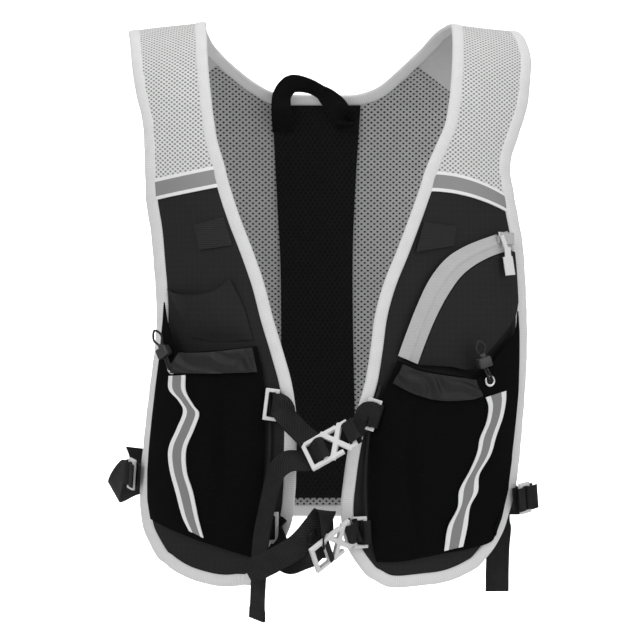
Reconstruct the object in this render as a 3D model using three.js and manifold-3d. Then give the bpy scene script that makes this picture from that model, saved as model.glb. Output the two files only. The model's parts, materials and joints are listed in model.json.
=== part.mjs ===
// Hydration vest pack: two front halves with pockets, a mesh back with a reservoir sleeve,
// two sternum straps with hook buckles and two side straps.
// Millimetres, +Z up, the front faces -Y and the wearer's left is +X.
// The origin lies between the shoulders, where the shoulder yokes rest on the wearer.

import * as THREE from 'three';
import Module from 'manifold-3d';
import { mergeVertices } from 'three/addons/utils/BufferGeometryUtils.js';

const wasm = await Module();
wasm.setup();

// Driving sizes of the vest
const FRONT_LENGTH = 540;
const BACK_LENGTH = 490;
const HALF_WIDTH = 170;
const CHEST_DEPTH = 123;
const BACK_DEPTH = 106;

// Shape of the body that the vest is shaped on
const FRONT_ROUNDNESS = 2.2;
const BACK_ROUNDNESS = 2.6;
const NECK_HALF_WIDTH = 100;
const NECK_RISE = 4.5;
const SHOULDER_SLOPE = 0.114;
const SHOULDER_RUN = 95;

// Cloth
const RIPSTOP_WALL = 2;
const MESH_WALL = 3;
const SPINE_WALL = 1.5;
const POCKET_WALL = 1.2;
const BINDING_WIDTH = 10;
const BINDING_WALL = 4;
const SEAM_GAP = 0.35;
const LAYER_GAP = 0.5;
const SPINE_GAP = 0.8;
const POCKET_EDGE_GAP = 1.2;
const RIGHT_BOTTLE_PUFF = 13;
const LEFT_BOTTLE_PUFF = 15;
const CHEST_POCKET_PUFF = 7;
const ZIP_POCKET_PUFF = 8;
const SLEEVE_PUFF = 26;
const REFLECTIVE_WALL = 1;
const ELASTIC_WALL = 1.2;
const ZIP_TAPE_WALL = 1.6;
const RAIL_WIDTH = 2.6;
const RAIL_HEIGHT = 3.4;

// Straps and their plastic parts
const WEBBING_WIDTH = 20;
const WEBBING_WALL = 1.4;
const STRAP_GAP = 0.5;
const STRAP_SIDE_ROOM = 0.4;
const BUCKLE_LENGTH = 40;
const BUCKLE_BAR = 3.2;
const RING_BAR = 3;
const RING_WIDTH = 12;
const HANDLE_RISE = 17;
const HANDLE_SPAN = 62;
const HANDLE_WIDTH = 16;

// Small parts of the pockets
const CORD_DIAMETER = 2;
const CORD_SPACING = 2.4;
const LOCK_WIDTH = 12;
const LOCK_DEPTH = 8;
const LOCK_HEIGHT = 9;
const LOCK_ROOM = 0.8;
const EYELET_DIAMETER = 10;
const EYELET_WALL = 1.2;
const SLIDER_LENGTH = 10;
const SLIDER_WIDTH = 8;
const SLIDER_HEIGHT = 3;
const PULL_LENGTH = 24;
const PULL_WIDTH = 9;
const PULL_WALL = 1.6;

// Numbers of mesh steps along each stretch
const FRONT_STEPS = 12;
const YOKE_STEPS = 12;
const YOKE_COLUMNS = 5;
const HEM_STEPS = 10;
const NECK_STEPS = 10;
const BACK_STEPS = 12;
const BACK_COLUMNS = 2 * YOKE_COLUMNS + NECK_STEPS;

// Reads a short table into rows with named columns
function table(columns, rows) {
  const names = columns.split(' ');
  return rows.map((row) => Object.fromEntries(names.map((name, i) => [name, row[i]])));
}

// A share of the front length down the chest, or of the back length where it is negative
function clothRun(share) {
  return share * (share > 0 ? FRONT_LENGTH : BACK_LENGTH);
}

// Side profile of the body: run along the cloth, fall and depth, and how far it reaches sideways
const PROFILE = table('down fall depth right left', [
  [-1.1, 0.99, -0.88, 1.06, 1.11],
  [-1, 0.894, -0.93, 1.06, 1.11],
  [-0.735, 0.629, -0.98, 1.06, 1.11],
  [-0.53, 0.424, -1, 1.06, 1.11],
  [-0.388, 0.282, -0.972, 1.08, 1.13],
  [-0.286, 0.182, -0.887, 1.12, 1.18],
  [-0.194, 0.096, -0.726, 1.18, 1.224],
  [-0.122, 0.043, -0.509, 1.2, 1.247],
  [-0.061, 0.01, -0.274, 1.224, 1.259],
  [0, 0, 0, 1.235, 1.27],
  [0.056, 0.009, 0.236, 1.224, 1.259],
  [0.111, 0.037, 0.447, 1.2, 1.247],
  [0.176, 0.083, 0.65, 1.165, 1.224],
  [0.259, 0.159, 0.821, 1.118, 1.2],
  [0.352, 0.248, 0.927, 1.059, 1.165],
  [0.481, 0.376, 0.992, 0.965, 1.188],
  [0.667, 0.561, 1, 0.953, 1.2],
  [0.852, 0.746, 0.959, 0.965, 1.176],
  [1, 0.894, 0.894, 0.94, 1.153],
  [1.08, 0.973, 0.86, 0.93, 1.14],
]);

const BODY = PROFILE.map((row) => ({
  run: clothRun(row.down),
  fall: row.fall * (row.down > 0 ? FRONT_LENGTH : BACK_LENGTH),
  depth: row.depth * (row.down > 0 ? CHEST_DEPTH : BACK_DEPTH),
  right: row.right * HALF_WIDTH,
  left: row.left * HALF_WIDTH,
}));

// Smooth reading of one column of a table at a key between its rows
function readTable(rows, keyName, valueName, key) {
  const last = rows.length - 1;
  let i = 0;
  while (i < last - 1 && rows[i + 1][keyName] <= key) i += 1;
  const slope = (k) => {
    const a = rows[Math.max(k - 1, 0)];
    const b = rows[Math.min(k + 1, last)];
    return (b[valueName] - a[valueName]) / (b[keyName] - a[keyName]);
  };
  const step = rows[i + 1][keyName] - rows[i][keyName];
  const t = THREE.MathUtils.clamp((key - rows[i][keyName]) / step, 0, 1);
  const start = (2 * t ** 3 - 3 * t ** 2 + 1) * rows[i][valueName];
  const end = (3 * t ** 2 - 2 * t ** 3) * rows[i + 1][valueName];
  const leave = (t ** 3 - 2 * t ** 2 + t) * step * slope(i);
  const arrive = (t ** 3 - t ** 2) * step * slope(i + 1);
  return start + end + leave + arrive;
}

// A point of the body under the cloth: across the body and along the cloth
function bodyPoint(across, run) {
  const reach = readTable(BODY, 'run', across < 0 ? 'right' : 'left', run);
  const roundness = run > 0 ? FRONT_ROUNDNESS : BACK_ROUNDNESS;
  const t = Math.min(Math.abs(across) / reach, 0.99);
  const bulge = (1 - t ** roundness) ** (1 / roundness);
  const outward = Math.max(Math.abs(across) - NECK_HALF_WIDTH, 0);
  const rise = (NECK_RISE - SHOULDER_SLOPE * outward) * Math.exp(-((run / SHOULDER_RUN) ** 2));
  const y = -readTable(BODY, 'run', 'depth', run) * bulge;
  return new THREE.Vector3(across, y, rise - readTable(BODY, 'run', 'fall', run));
}

function bodyNormal(across, run) {
  const step = 0.5;
  const sideways = bodyPoint(across + step, run).sub(bodyPoint(across - step, run));
  const along = bodyPoint(across, run + step).sub(bodyPoint(across, run - step));
  return along.cross(sideways).normalize();
}

// A point at a height above the body, outward
function onBody(across, run, height) {
  return bodyPoint(across, run).addScaledVector(bodyNormal(across, run), height);
}

// The same from shares of the named sizes
function onBodyShare(acrossShare, downShare, height) {
  return onBody(acrossShare * HALF_WIDTH, clothRun(downShare), height);
}

function signedVolume(geometry) {
  const index = geometry.index.array;
  const [a, b, c] = [0, 1, 2].map(() => new THREE.Vector3());
  let volume = 0;
  for (let i = 0; i < index.length; i += 3) {
    a.fromBufferAttribute(geometry.attributes.position, index[i]);
    b.fromBufferAttribute(geometry.attributes.position, index[i + 1]);
    c.fromBufferAttribute(geometry.attributes.position, index[i + 2]);
    volume += a.dot(b.cross(c)) / 6;
  }
  return volume;
}

// A box with merged corners, so that it is one closed surface
function closedBox(columns, rows, layers) {
  const box = new THREE.BoxGeometry(1, 1, 1, columns, rows, layers);
  box.deleteAttribute('normal');
  box.deleteAttribute('uv');
  return mergeVertices(box);
}

// A wall of cloth: place gives the point for the shares across, along and through it
function clothWall(columns, rows, place) {
  const geometry = closedBox(columns, rows, 1);
  const position = geometry.attributes.position;
  for (let i = 0; i < position.count; i += 1) {
    const u = position.getX(i) + 0.5;
    const v = position.getY(i) + 0.5;
    const point = place(u, v, position.getZ(i) + 0.5);
    position.setXYZ(i, point.x, point.y, point.z);
  }
  if (signedVolume(geometry) < 0) {
    const index = geometry.index.array;
    for (let i = 0; i < index.length; i += 3) {
      [index[i], index[i + 1]] = [index[i + 1], index[i]];
    }
  }
  return geometry;
}

// Places along a smooth line through rows of shares, evenly spaced
function smoothLine(rows, side, steps) {
  const points = rows.map(([across, down]) => (
    new THREE.Vector3(side * across * HALF_WIDTH, clothRun(down), 0)));
  return new THREE.CatmullRomCurve3(points, false, 'catmullrom', 0.5).getSpacedPoints(steps);
}

// A straight line on the cloth, that may be crowned upward in its middle
function straightLine(from, to, steps, crown = 0) {
  return Array.from({ length: steps + 1 }, (_, i) => {
    const t = i / steps;
    const point = from.clone().lerp(to, t);
    point.y -= 4 * crown * t * (1 - t);
    return point;
  });
}

// A place inside four border lines
function insideBorders(net, u, v) {
  const columns = net.bottom.length - 1;
  const rows = net.left.length - 1;
  const i = Math.round(u * columns);
  const j = Math.round(v * rows);
  const place = new THREE.Vector3();
  place.addScaledVector(net.bottom[i], 1 - v).addScaledVector(net.top[i], v);
  place.addScaledVector(net.left[j], 1 - u).addScaledVector(net.right[j], u);
  place.addScaledVector(net.bottom[0], -(1 - u) * (1 - v));
  place.addScaledVector(net.bottom[columns], -u * (1 - v));
  place.addScaledVector(net.top[0], -(1 - u) * v);
  place.addScaledVector(net.top[columns], -u * v);
  return place;
}

// A cloth panel inside four border lines, standing at a height above the body
function clothPanel(net, wall, heightAt) {
  return clothWall(net.bottom.length - 1, net.left.length - 1, (u, v, through) => {
    const place = insideBorders(net, u, v);
    return onBody(place.x, place.y, heightAt(place.x, place.y, u, v) + wall * through);
  });
}

// The outline of the vest, as one loop of stretches, in shares across and down.
// It climbs the wearer's right front, rounds the neck, goes down the left front,
// back up its outer edge, round the back panel and down the right outer edge.
const OUTLINE = [
  { name: 'rightCentreFront', side: -1, steps: FRONT_STEPS, rows: [[0.32, 0.99], [0.145, 0.9],
    [0.115, 0.77], [0.125, 0.7], [0.17, 0.64], [0.226, 0.58], [0.294, 0.5], [0.37, 0.44], [0.446, 0.368]] },
  { name: 'rightCentreStrip', side: -1, steps: 1, rows: [[0.446, 0.368], [0.472, 0.335]] },
  { name: 'rightCentreYoke', side: -1, steps: YOKE_STEPS, rows: [[0.472, 0.335], [0.512, 0.289],
    [0.553, 0.193], [0.577, 0.094], [0.59, 0], [0.59, -0.068], [0.543, -0.106], [0.506, -0.125]] },
  { name: 'neck', side: 1, steps: NECK_STEPS, rows: [[-0.506, -0.125], [-0.4, -0.166], [-0.324, -0.185],
    [-0.25, -0.199], [-0.17, -0.203], [0.065, -0.204], [0.15, -0.204], [0.25, -0.199], [0.31, -0.189],
    [0.376, -0.168], [0.424, -0.152], [0.476, -0.13]] },
  { name: 'leftCentreYoke', side: 1, steps: YOKE_STEPS, rows: [[0.476, -0.13], [0.507, -0.118],
    [0.578, -0.078], [0.665, 0], [0.675, 0.089], [0.656, 0.196], [0.624, 0.264], [0.579, 0.3], [0.52, 0.344]] },
  { name: 'leftCentreStrip', side: 1, steps: 1, rows: [[0.52, 0.344], [0.488, 0.376]] },
  { name: 'leftCentreFront', side: 1, steps: FRONT_STEPS, rows: [[0.488, 0.376], [0.464, 0.398],
    [0.387, 0.463], [0.31, 0.524], [0.265, 0.578], [0.241, 0.64], [0.226, 0.668], [0.179, 0.722],
    [0.136, 0.781], [0.108, 0.849], [0.104, 0.894], [0.138, 0.936], [0.218, 0.973]] },
  { name: 'leftHem', side: 1, steps: HEM_STEPS, rows: [[0.218, 0.973], [0.306, 0.992], [0.376, 0.997],
    [0.511, 0.994], [0.622, 0.99], [0.734, 0.977], [0.805, 0.962]] },
  { name: 'leftOuterFront', side: 1, steps: FRONT_STEPS, rows: [[0.805, 0.962], [0.867, 0.943],
    [0.944, 0.883], [0.975, 0.846], [1.005, 0.765], [1.034, 0.62], [1.018, 0.478], [0.987, 0.412]] },
  { name: 'leftOuterStrip', side: 1, steps: 1, rows: [[0.987, 0.412], [0.97, 0.383]] },
  { name: 'leftOuterYoke', side: 1, steps: YOKE_STEPS, rows: [[0.97, 0.383], [0.951, 0.333],
    [0.964, 0.309], [1.041, 0.237], [1.076, 0.138], [1.061, 0.083], [1.02, 0], [1, -0.08],
    [0.965, -0.163], [0.915, -0.253]] },
  { name: 'leftBackSide', side: 1, steps: BACK_STEPS, rows: [[0.915, -0.253], [0.88, -0.306],
    [0.82, -0.388], [0.785, -0.47], [0.79, -0.57], [0.8, -0.67], [0.79, -0.82], [0.75, -0.91], [0.66, -0.972]] },
  { name: 'backHem', side: 1, steps: BACK_COLUMNS, rows: [[0.66, -0.972], [0.53, -0.994], [0, -1],
    [-0.53, -0.994], [-0.66, -0.972]] },
  { name: 'rightBackSide', side: -1, steps: BACK_STEPS, rows: [[0.66, -0.972], [0.75, -0.91],
    [0.79, -0.82], [0.8, -0.67], [0.79, -0.57], [0.776, -0.47], [0.81, -0.388], [0.87, -0.306], [0.9, -0.253]] },
  { name: 'rightOuterYoke', side: -1, steps: YOKE_STEPS, rows: [[0.9, -0.253], [0.94, -0.163],
    [0.976, -0.08], [0.996, 0], [0.985, 0.06], [0.961, 0.133], [0.941, 0.187], [0.906, 0.239],
    [0.882, 0.274], [0.871, 0.357]] },
  { name: 'rightOuterStrip', side: -1, steps: 1, rows: [[0.871, 0.357], [0.867, 0.391]] },
  { name: 'rightOuterFront', side: -1, steps: FRONT_STEPS, rows: [[0.867, 0.391], [0.841, 0.444],
    [0.813, 0.583], [0.858, 0.707], [0.895, 0.809], [0.905, 0.859], [0.897, 0.896], [0.872, 0.926], [0.815, 0.955]] },
  { name: 'rightHem', side: -1, steps: HEM_STEPS, rows: [[0.815, 0.955], [0.729, 0.975], [0.624, 0.989],
    [0.474, 0.997], [0.32, 0.99]] },
];

const LOOP = [];
const STRETCH = {};
for (const { name, side, steps, rows } of OUTLINE) {
  STRETCH[name] = { start: LOOP.length, steps };
  LOOP.push(...smoothLine(rows, side, steps).slice(0, steps));
}

// The loop moved inward by a distance, with mitred corners
function insetLoop(distance) {
  const count = LOOP.length;
  const inward = (from, to) => {
    const along = to.clone().sub(from).normalize();
    return new THREE.Vector3(along.y, -along.x, 0);
  };
  return LOOP.map((point, i) => {
    const before = inward(LOOP[(i + count - 1) % count], point);
    const after = inward(point, LOOP[(i + 1) % count]);
    const middle = before.clone().add(after).normalize();
    return point.clone().addScaledVector(middle, distance / Math.max(middle.dot(before), 0.5));
  });
}

const PANEL_EDGE = insetLoop(BINDING_WIDTH + SEAM_GAP);
const BINDING_EDGE = insetLoop(BINDING_WIDTH);
const POCKET_EDGE = insetLoop(BINDING_WIDTH + POCKET_EDGE_GAP);

// The points of a loop along one named stretch, both its ends included
function along(loop, name) {
  const { start, steps } = STRETCH[name];
  return Array.from({ length: steps + 1 }, (_, i) => loop[(start + i) % loop.length]);
}

// The place of a stretch of a loop at a share down the cloth
function edgeAt(loop, name, downShare) {
  const run = clothRun(downShare);
  const points = along(loop, name);
  const rising = points[0].y < points[points.length - 1].y;
  const ordered = rising ? points : [...points].reverse();
  let i = 0;
  while (i < ordered.length - 2 && ordered[i + 1].y < run) i += 1;
  const [a, b] = [ordered[i], ordered[i + 1]];
  const t = THREE.MathUtils.clamp((run - a.y) / (b.y - a.y), 0, 1);
  return new THREE.Vector3(THREE.MathUtils.lerp(a.x, b.x, t), run, 0);
}

// Equal steps along an edge between two shares down the cloth
function edgeLine(loop, name, fromShare, toShare, steps) {
  return Array.from({ length: steps + 1 }, (_, i) => (
    edgeAt(loop, name, THREE.MathUtils.lerp(fromShare, toShare, i / steps))));
}

const vest = new THREE.Group();

function addPart(name, geometry, look, parent = vest) {
  const material = new THREE.MeshStandardMaterial({ metalness: 0, ...look });
  const mesh = new THREE.Mesh(geometry, material);
  mesh.name = name;
  parent.add(mesh);
  return mesh;
}

const BLACK_RIPSTOP = { color: '#232323', roughness: 0.7 };
const BLACK_STRETCH = { color: '#141414', roughness: 0.85 };
const GREY_MESH = { color: '#b9b9b9', roughness: 0.9 };
const BLACK_MESH = { color: '#161616', roughness: 0.9 };
const PALE_BINDING = { color: '#dadada', roughness: 0.75 };
const REFLECTIVE = { color: '#8b8b8b', roughness: 0.4 };
const PALE_TAPE = { color: '#c4c4c4', roughness: 0.8 };
const WEBBING = { color: '#202020', roughness: 0.75 };
const PALE_PLASTIC = { color: '#d8d8d8', roughness: 0.4 };
const DARK_PLASTIC = { color: '#2b2b2b', roughness: 0.4 };
const BRIGHT_METAL = { color: '#d0d0d0', roughness: 0.25, metalness: 1 };

// Front panels, shoulder strips and yokes

const STRIP_CROWN = { right: 0, left: 0.01 * FRONT_LENGTH };

function crossLine(from, to, steps, crown, shift) {
  const line = straightLine(from, to, steps, crown);
  line.forEach((point) => { point.y += shift; });
  return line;
}

function frontHalf(half) {
  const crown = STRIP_CROWN[half];
  const rising = half === 'right';
  const order = (points) => (rising ? points : [...points].reverse());
  const centre = order(along(PANEL_EDGE, `${half}CentreFront`));
  const outer = order(along(PANEL_EDGE, `${half}OuterFront`)).reverse();
  const hem = order(along(PANEL_EDGE, `${half}Hem`)).reverse();
  const last = FRONT_STEPS;
  const top = crossLine(centre[last], outer[last], HEM_STEPS, crown, 0);
  const panelNet = { bottom: hem, top, left: centre, right: outer };
  addPart(`front_panel_${half}`, clothPanel(panelNet, RIPSTOP_WALL, () => 0), BLACK_RIPSTOP);

  const stripCentre = order(along(PANEL_EDGE, `${half}CentreStrip`));
  const stripOuter = order(along(PANEL_EDGE, `${half}OuterStrip`)).reverse();
  const stripNet = {
    bottom: crossLine(stripCentre[0], stripOuter[0], HEM_STEPS, crown, -SEAM_GAP),
    top: crossLine(stripCentre[1], stripOuter[1], HEM_STEPS, crown, SEAM_GAP),
  };
  stripNet.left = [stripNet.bottom[0], stripNet.top[0]];
  stripNet.right = [stripNet.bottom[HEM_STEPS], stripNet.top[HEM_STEPS]];
  addPart(`shoulder_strip_${half}`, clothPanel(stripNet, MESH_WALL, () => 0), REFLECTIVE);

  const yokeCentre = order(along(PANEL_EDGE, `${half}CentreYoke`));
  const yokeOuter = order(along(PANEL_EDGE, `${half}OuterYoke`)).reverse();
  const yokeNet = {
    bottom: crossLine(yokeCentre[0], yokeOuter[0], YOKE_COLUMNS, crown, 0),
    top: crossLine(yokeCentre[YOKE_STEPS], yokeOuter[YOKE_STEPS], YOKE_COLUMNS, 0, 0),
    left: yokeCentre,
    right: yokeOuter,
  };
  addPart(`shoulder_yoke_${half}`, clothPanel(yokeNet, MESH_WALL, () => 0), GREY_MESH);
}

frontHalf('right');
frontHalf('left');

// Back panel, spine panel and reservoir sleeve

function backPanel() {
  const rightSide = along(PANEL_EDGE, 'rightBackSide');
  const leftSide = along(PANEL_EDGE, 'leftBackSide').reverse();
  const neck = along(PANEL_EDGE, 'neck');
  const rightSeam = straightLine(rightSide[BACK_STEPS], neck[0], YOKE_COLUMNS);
  const leftSeam = straightLine(neck[NECK_STEPS], leftSide[BACK_STEPS], YOKE_COLUMNS);
  const top = [...rightSeam.slice(0, -1), ...neck, ...leftSeam.slice(1)];
  const lowered = top.map((point, i) => {
    const onSeam = i <= YOKE_COLUMNS || i >= YOKE_COLUMNS + NECK_STEPS;
    return point.clone().add(new THREE.Vector3(0, onSeam ? -2 * SEAM_GAP : 0, 0));
  });
  const net = {
    bottom: along(PANEL_EDGE, 'backHem').reverse(),
    top: lowered,
    left: [...rightSide.slice(0, -1), lowered[0]],
    right: [...leftSide.slice(0, -1), lowered[BACK_COLUMNS]],
  };
  addPart('back_panel', clothPanel(net, MESH_WALL, () => 0), GREY_MESH);
}

// A panel whose border lines are straight between rows of across and down
function rowPanel(rows, steps, wall, heightAt) {
  const left = smoothLine(rows.map((row) => [row.leftAcross, row.down]), 1, steps);
  const right = smoothLine(rows.map((row) => [row.rightAcross, row.down]), 1, steps);
  const columns = rows.columns;
  const net = {
    bottom: straightLine(left[0], right[0], columns),
    top: straightLine(left[steps], right[steps], columns),
    left,
    right,
  };
  return clothPanel(net, wall, heightAt);
}

function spinePanel() {
  const rows = table('leftAcross rightAcross down', [
    [-0.215, 0.205, -0.965],
    [-0.213, 0.19, -0.8],
    [-0.215, 0.178, -0.55],
    [-0.235, 0.19, -0.4],
    [-0.25, 0.215, -0.24],
  ]);
  rows.columns = 4;
  addPart('spine_panel', rowPanel(rows, 12, SPINE_WALL, () => -SPINE_WALL - SPINE_GAP), BLACK_MESH);
}

const SLEEVE = table('leftAcross rightAcross down', [
  [-0.56, 0.56, -0.955],
  [-0.6, 0.6, -0.85],
  [-0.6, 0.6, -0.6],
  [-0.57, 0.57, -0.4],
  [-0.46, 0.46, -0.26],
]);
SLEEVE.columns = 10;

// How far the sleeve stands off the back panel: seamed round three sides and open at its top
function sleeveHeight(across, run, u, v) {
  const sides = 1 - Math.abs(2 * u - 1) ** 2.6;
  const foot = 1 - (1 - v) ** 4;
  return MESH_WALL + LAYER_GAP + SLEEVE_PUFF * sides * foot * (1 - 0.45 * v ** 2);
}

backPanel();
spinePanel();
addPart('reservoir_sleeve', rowPanel(SLEEVE, 12, RIPSTOP_WALL, sleeveHeight), BLACK_RIPSTOP);

// Edge bindings

function binding(name, stretches) {
  const join = (loop) => stretches.flatMap((stretch, i) => along(loop, stretch).slice(i > 0 ? 1 : 0));
  const edge = join(LOOP);
  const inner = join(BINDING_EDGE);
  const last = edge.length - 1;
  const trim = (points) => {
    const shorten = (end, next) => end.clone().add(next.clone().sub(end).setLength(SEAM_GAP));
    const start = shorten(points[0], points[1]);
    const end = shorten(points[last], points[last - 1]);
    return [start, ...points.slice(1, last), end];
  };
  const [outside, inside] = [trim(edge), trim(inner)];
  const below = (MESH_WALL - BINDING_WALL) / 2;
  const geometry = clothWall(1, last, (u, v, through) => {
    const row = Math.round(v * last);
    const place = outside[row].clone().lerp(inside[row], u);
    return onBody(place.x, place.y, below + BINDING_WALL * through);
  });
  addPart(name, geometry, PALE_BINDING);
}

binding('edge_binding_right', ['rightCentreFront', 'rightCentreStrip', 'rightCentreYoke']);
binding('neck_binding', ['neck']);
binding('edge_binding_left', ['leftCentreYoke', 'leftCentreStrip', 'leftCentreFront']);
binding('outer_binding_left', ['leftHem', 'leftOuterFront', 'leftOuterStrip', 'leftOuterYoke']);
binding('back_binding_left', ['leftBackSide', 'backHem']);
binding('back_binding_right', ['rightBackSide']);
binding('outer_binding_right', ['rightOuterYoke', 'rightOuterStrip', 'rightOuterFront', 'rightHem']);

// Pockets. A pocket stands off its panel by a puff that a table gives down the cloth.

function puffHeight(pocket, across, run) {
  const reading = (column) => readTable(pocket.rows, 'down', column, run / FRONT_LENGTH);
  const inner = reading('inner') * HALF_WIDTH;
  const outer = reading('outer') * HALF_WIDTH;
  const t = THREE.MathUtils.clamp((Math.abs(across) - inner) / (outer - inner), 0, 1);
  return pocket.puff * reading('height') * (1 - Math.abs(2 * t - 1) ** 2.4);
}

const RIGHT_BOTTLE = { side: -1,
  half: 'right',
  puff: RIGHT_BOTTLE_PUFF,
  rows: table('down inner outer height', [
    [0.54, 0.6, 0.83, 0.25],
    [0.59, 0.42, 0.83, 0.7],
    [0.63, 0.285, 0.83, 1],
    [0.7, 0.255, 0.86, 1],
    [0.8, 0.26, 0.9, 0.85],
    [0.88, 0.29, 0.9, 0.55],
    [0.96, 0.33, 0.86, 0.05],
  ]) };

const LEFT_BOTTLE = { side: 1,
  half: 'left',
  puff: LEFT_BOTTLE_PUFF,
  rows: table('down inner outer height', [
    [0.55, 0.75, 1.03, 0.25],
    [0.6, 0.55, 1.03, 0.6],
    [0.65, 0.33, 1.03, 0.9],
    [0.7, 0.28, 1.03, 1],
    [0.8, 0.225, 0.99, 0.9],
    [0.88, 0.23, 0.94, 0.6],
    [0.965, 0.25, 0.85, 0.05],
  ]) };

const CHEST_POCKET = { side: -1,
  half: 'right',
  puff: CHEST_POCKET_PUFF,
  rows: table('down inner outer height', [
    [0.5, 0.43, 0.78, 1],
    [0.54, 0.4, 0.74, 1],
    [0.58, 0.35, 0.68, 0.7],
    [0.61, 0.325, 0.64, 0],
  ]) };

const ZIP_POCKET = { side: 1,
  half: 'left',
  puff: ZIP_POCKET_PUFF,
  rows: table('down inner outer height', [
    [0.44, 0.7, 1.08, 0.3],
    [0.5, 0.5, 1.05, 0.8],
    [0.56, 0.4, 1.05, 1],
    [0.65, 0.32, 1.05, 0.7],
  ]) };

const POCKET_BASE = RIPSTOP_WALL + LAYER_GAP;

function pocketWall(pocket, net) {
  return clothPanel(net, POCKET_WALL, (across, run) => POCKET_BASE + puffHeight(pocket, across, run));
}

const POCKET_COLUMNS = 10;
const POCKET_ROWS = 10;

function bottlePocketRight() {
  const outer = edgeLine(POCKET_EDGE, 'rightOuterFront', 0.895, 0.551, POCKET_ROWS);
  const inner = smoothLine([[0.34, 0.948], [0.316, 0.899], [0.281, 0.845], [0.268, 0.781],
    [0.268, 0.703], [0.275, 0.66], [0.305, 0.62]], -1, POCKET_ROWS);
  const outerEnd = [-outer[0].x / HALF_WIDTH, 0.895];
  const outerTop = [-outer[POCKET_ROWS].x / HALF_WIDTH, 0.551];
  const net = {
    bottom: smoothLine([outerEnd, [0.728, 0.907], [0.658, 0.915], [0.568, 0.925], [0.34, 0.948]], -1, POCKET_COLUMNS),
    top: smoothLine([outerTop, [0.71, 0.592], [0.64, 0.627], [0.5, 0.627], [0.305, 0.62]], -1, POCKET_COLUMNS),
    left: outer,
    right: inner,
  };
  addPart('bottle_pocket_right', pocketWall(RIGHT_BOTTLE, net), BLACK_STRETCH);
}

function bottlePocketLeft() {
  const outer = edgeLine(POCKET_EDGE, 'leftOuterFront', 0.905, 0.566, POCKET_ROWS);
  const inner = smoothLine([[0.275, 0.955], [0.256, 0.924], [0.243, 0.86], [0.241, 0.816],
    [0.25, 0.757], [0.31, 0.69], [0.375, 0.642]], 1, POCKET_ROWS);
  const outerEnd = [outer[0].x / HALF_WIDTH, 0.905];
  const outerTop = [outer[POCKET_ROWS].x / HALF_WIDTH, 0.566];
  const net = {
    bottom: smoothLine([[0.275, 0.955], [0.405, 0.954], [0.595, 0.943], [0.701, 0.938], [0.845, 0.927], outerEnd], 1, POCKET_COLUMNS),
    top: smoothLine([[0.375, 0.642], [0.482, 0.656], [0.622, 0.664], [0.75, 0.668], [0.83, 0.64], [0.94, 0.6], outerTop], 1, POCKET_COLUMNS),
    left: inner,
    right: outer,
  };
  addPart('bottle_pocket_left', pocketWall(LEFT_BOTTLE, net), BLACK_STRETCH);
}

bottlePocketRight();
bottlePocketLeft();

function chestPocket() {
  const steps = 6;
  const inner = smoothLine([[0.325, 0.61], [0.37, 0.56], [0.434, 0.516]], -1, steps);
  const outer = smoothLine([[0.635, 0.606], [0.69, 0.568], [0.755, 0.53]], -1, steps);
  const net = {
    bottom: smoothLine([[0.325, 0.61], [0.5, 0.613], [0.635, 0.606]], -1, POCKET_COLUMNS),
    top: smoothLine([[0.434, 0.516], [0.504, 0.535], [0.602, 0.541], [0.7, 0.538], [0.755, 0.53]], -1, POCKET_COLUMNS),
    left: inner,
    right: outer,
  };
  addPart('chest_pocket_right', pocketWall(CHEST_POCKET, net), BLACK_RIPSTOP);
}

chestPocket();

// Zipped pocket: a curved tape, the pocket wall inside it, the slider and its pull

const ZIP = table('outerAcross outerDown innerAcross innerDown', [
  [0.378, 0.635, 0.47, 0.648],
  [0.413, 0.603, 0.5, 0.62],
  [0.46, 0.563, 0.54, 0.586],
  [0.512, 0.526, 0.585, 0.555],
  [0.565, 0.5, 0.63, 0.531],
  [0.622, 0.481, 0.675, 0.512],
  [0.685, 0.468, 0.73, 0.497],
  [0.752, 0.458, 0.8, 0.484],
  [0.837, 0.448, 0.87, 0.475],
  [0.915, 0.44, 0.935, 0.47],
]);
const ZIP_STEPS = 14;

function zipHeight(across, run) {
  return POCKET_BASE + puffHeight(ZIP_POCKET, across, run);
}

function zipPocket() {
  const outer = smoothLine(ZIP.map((row) => [row.outerAcross, row.outerDown]), 1, ZIP_STEPS);
  const inner = smoothLine(ZIP.map((row) => [row.innerAcross, row.innerDown]), 1, ZIP_STEPS);
  const tapeNet = {
    bottom: straightLine(outer[0], inner[0], 2),
    top: straightLine(outer[ZIP_STEPS], inner[ZIP_STEPS], 2),
    left: outer,
    right: inner,
  };
  addPart('zip_tape', clothPanel(tapeNet, ZIP_TAPE_WALL, zipHeight), PALE_TAPE);

  const gap = 2 * SEAM_GAP;
  const corner = 6;
  const beside = inner.map((point) => point.clone().add(new THREE.Vector3(gap, gap, 0)));
  const side = edgeLine(POCKET_EDGE, 'leftOuterFront', 0.552, beside[ZIP_STEPS].y / FRONT_LENGTH, corner);
  side[corner] = beside[ZIP_STEPS];
  const foot = smoothLine([[beside[0].x / HALF_WIDTH, beside[0].y / FRONT_LENGTH], [0.62, 0.652],
    [0.73, 0.655], [0.83, 0.622], [0.94, 0.578], [side[0].x / HALF_WIDTH, 0.552]], 1, ZIP_STEPS - corner);
  const net = {
    bottom: foot,
    top: beside.slice(corner),
    left: beside.slice(0, corner + 1),
    right: side,
  };
  addPart('zip_pocket', clothPanel(net, POCKET_WALL, zipHeight), BLACK_RIPSTOP);
}

zipPocket();

// Strips, patches and bands laid on the panels and pockets

function pocketTop(pocket, across, run) {
  return POCKET_BASE + puffHeight(pocket, across, run) + POCKET_WALL + LAYER_GAP;
}

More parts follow.
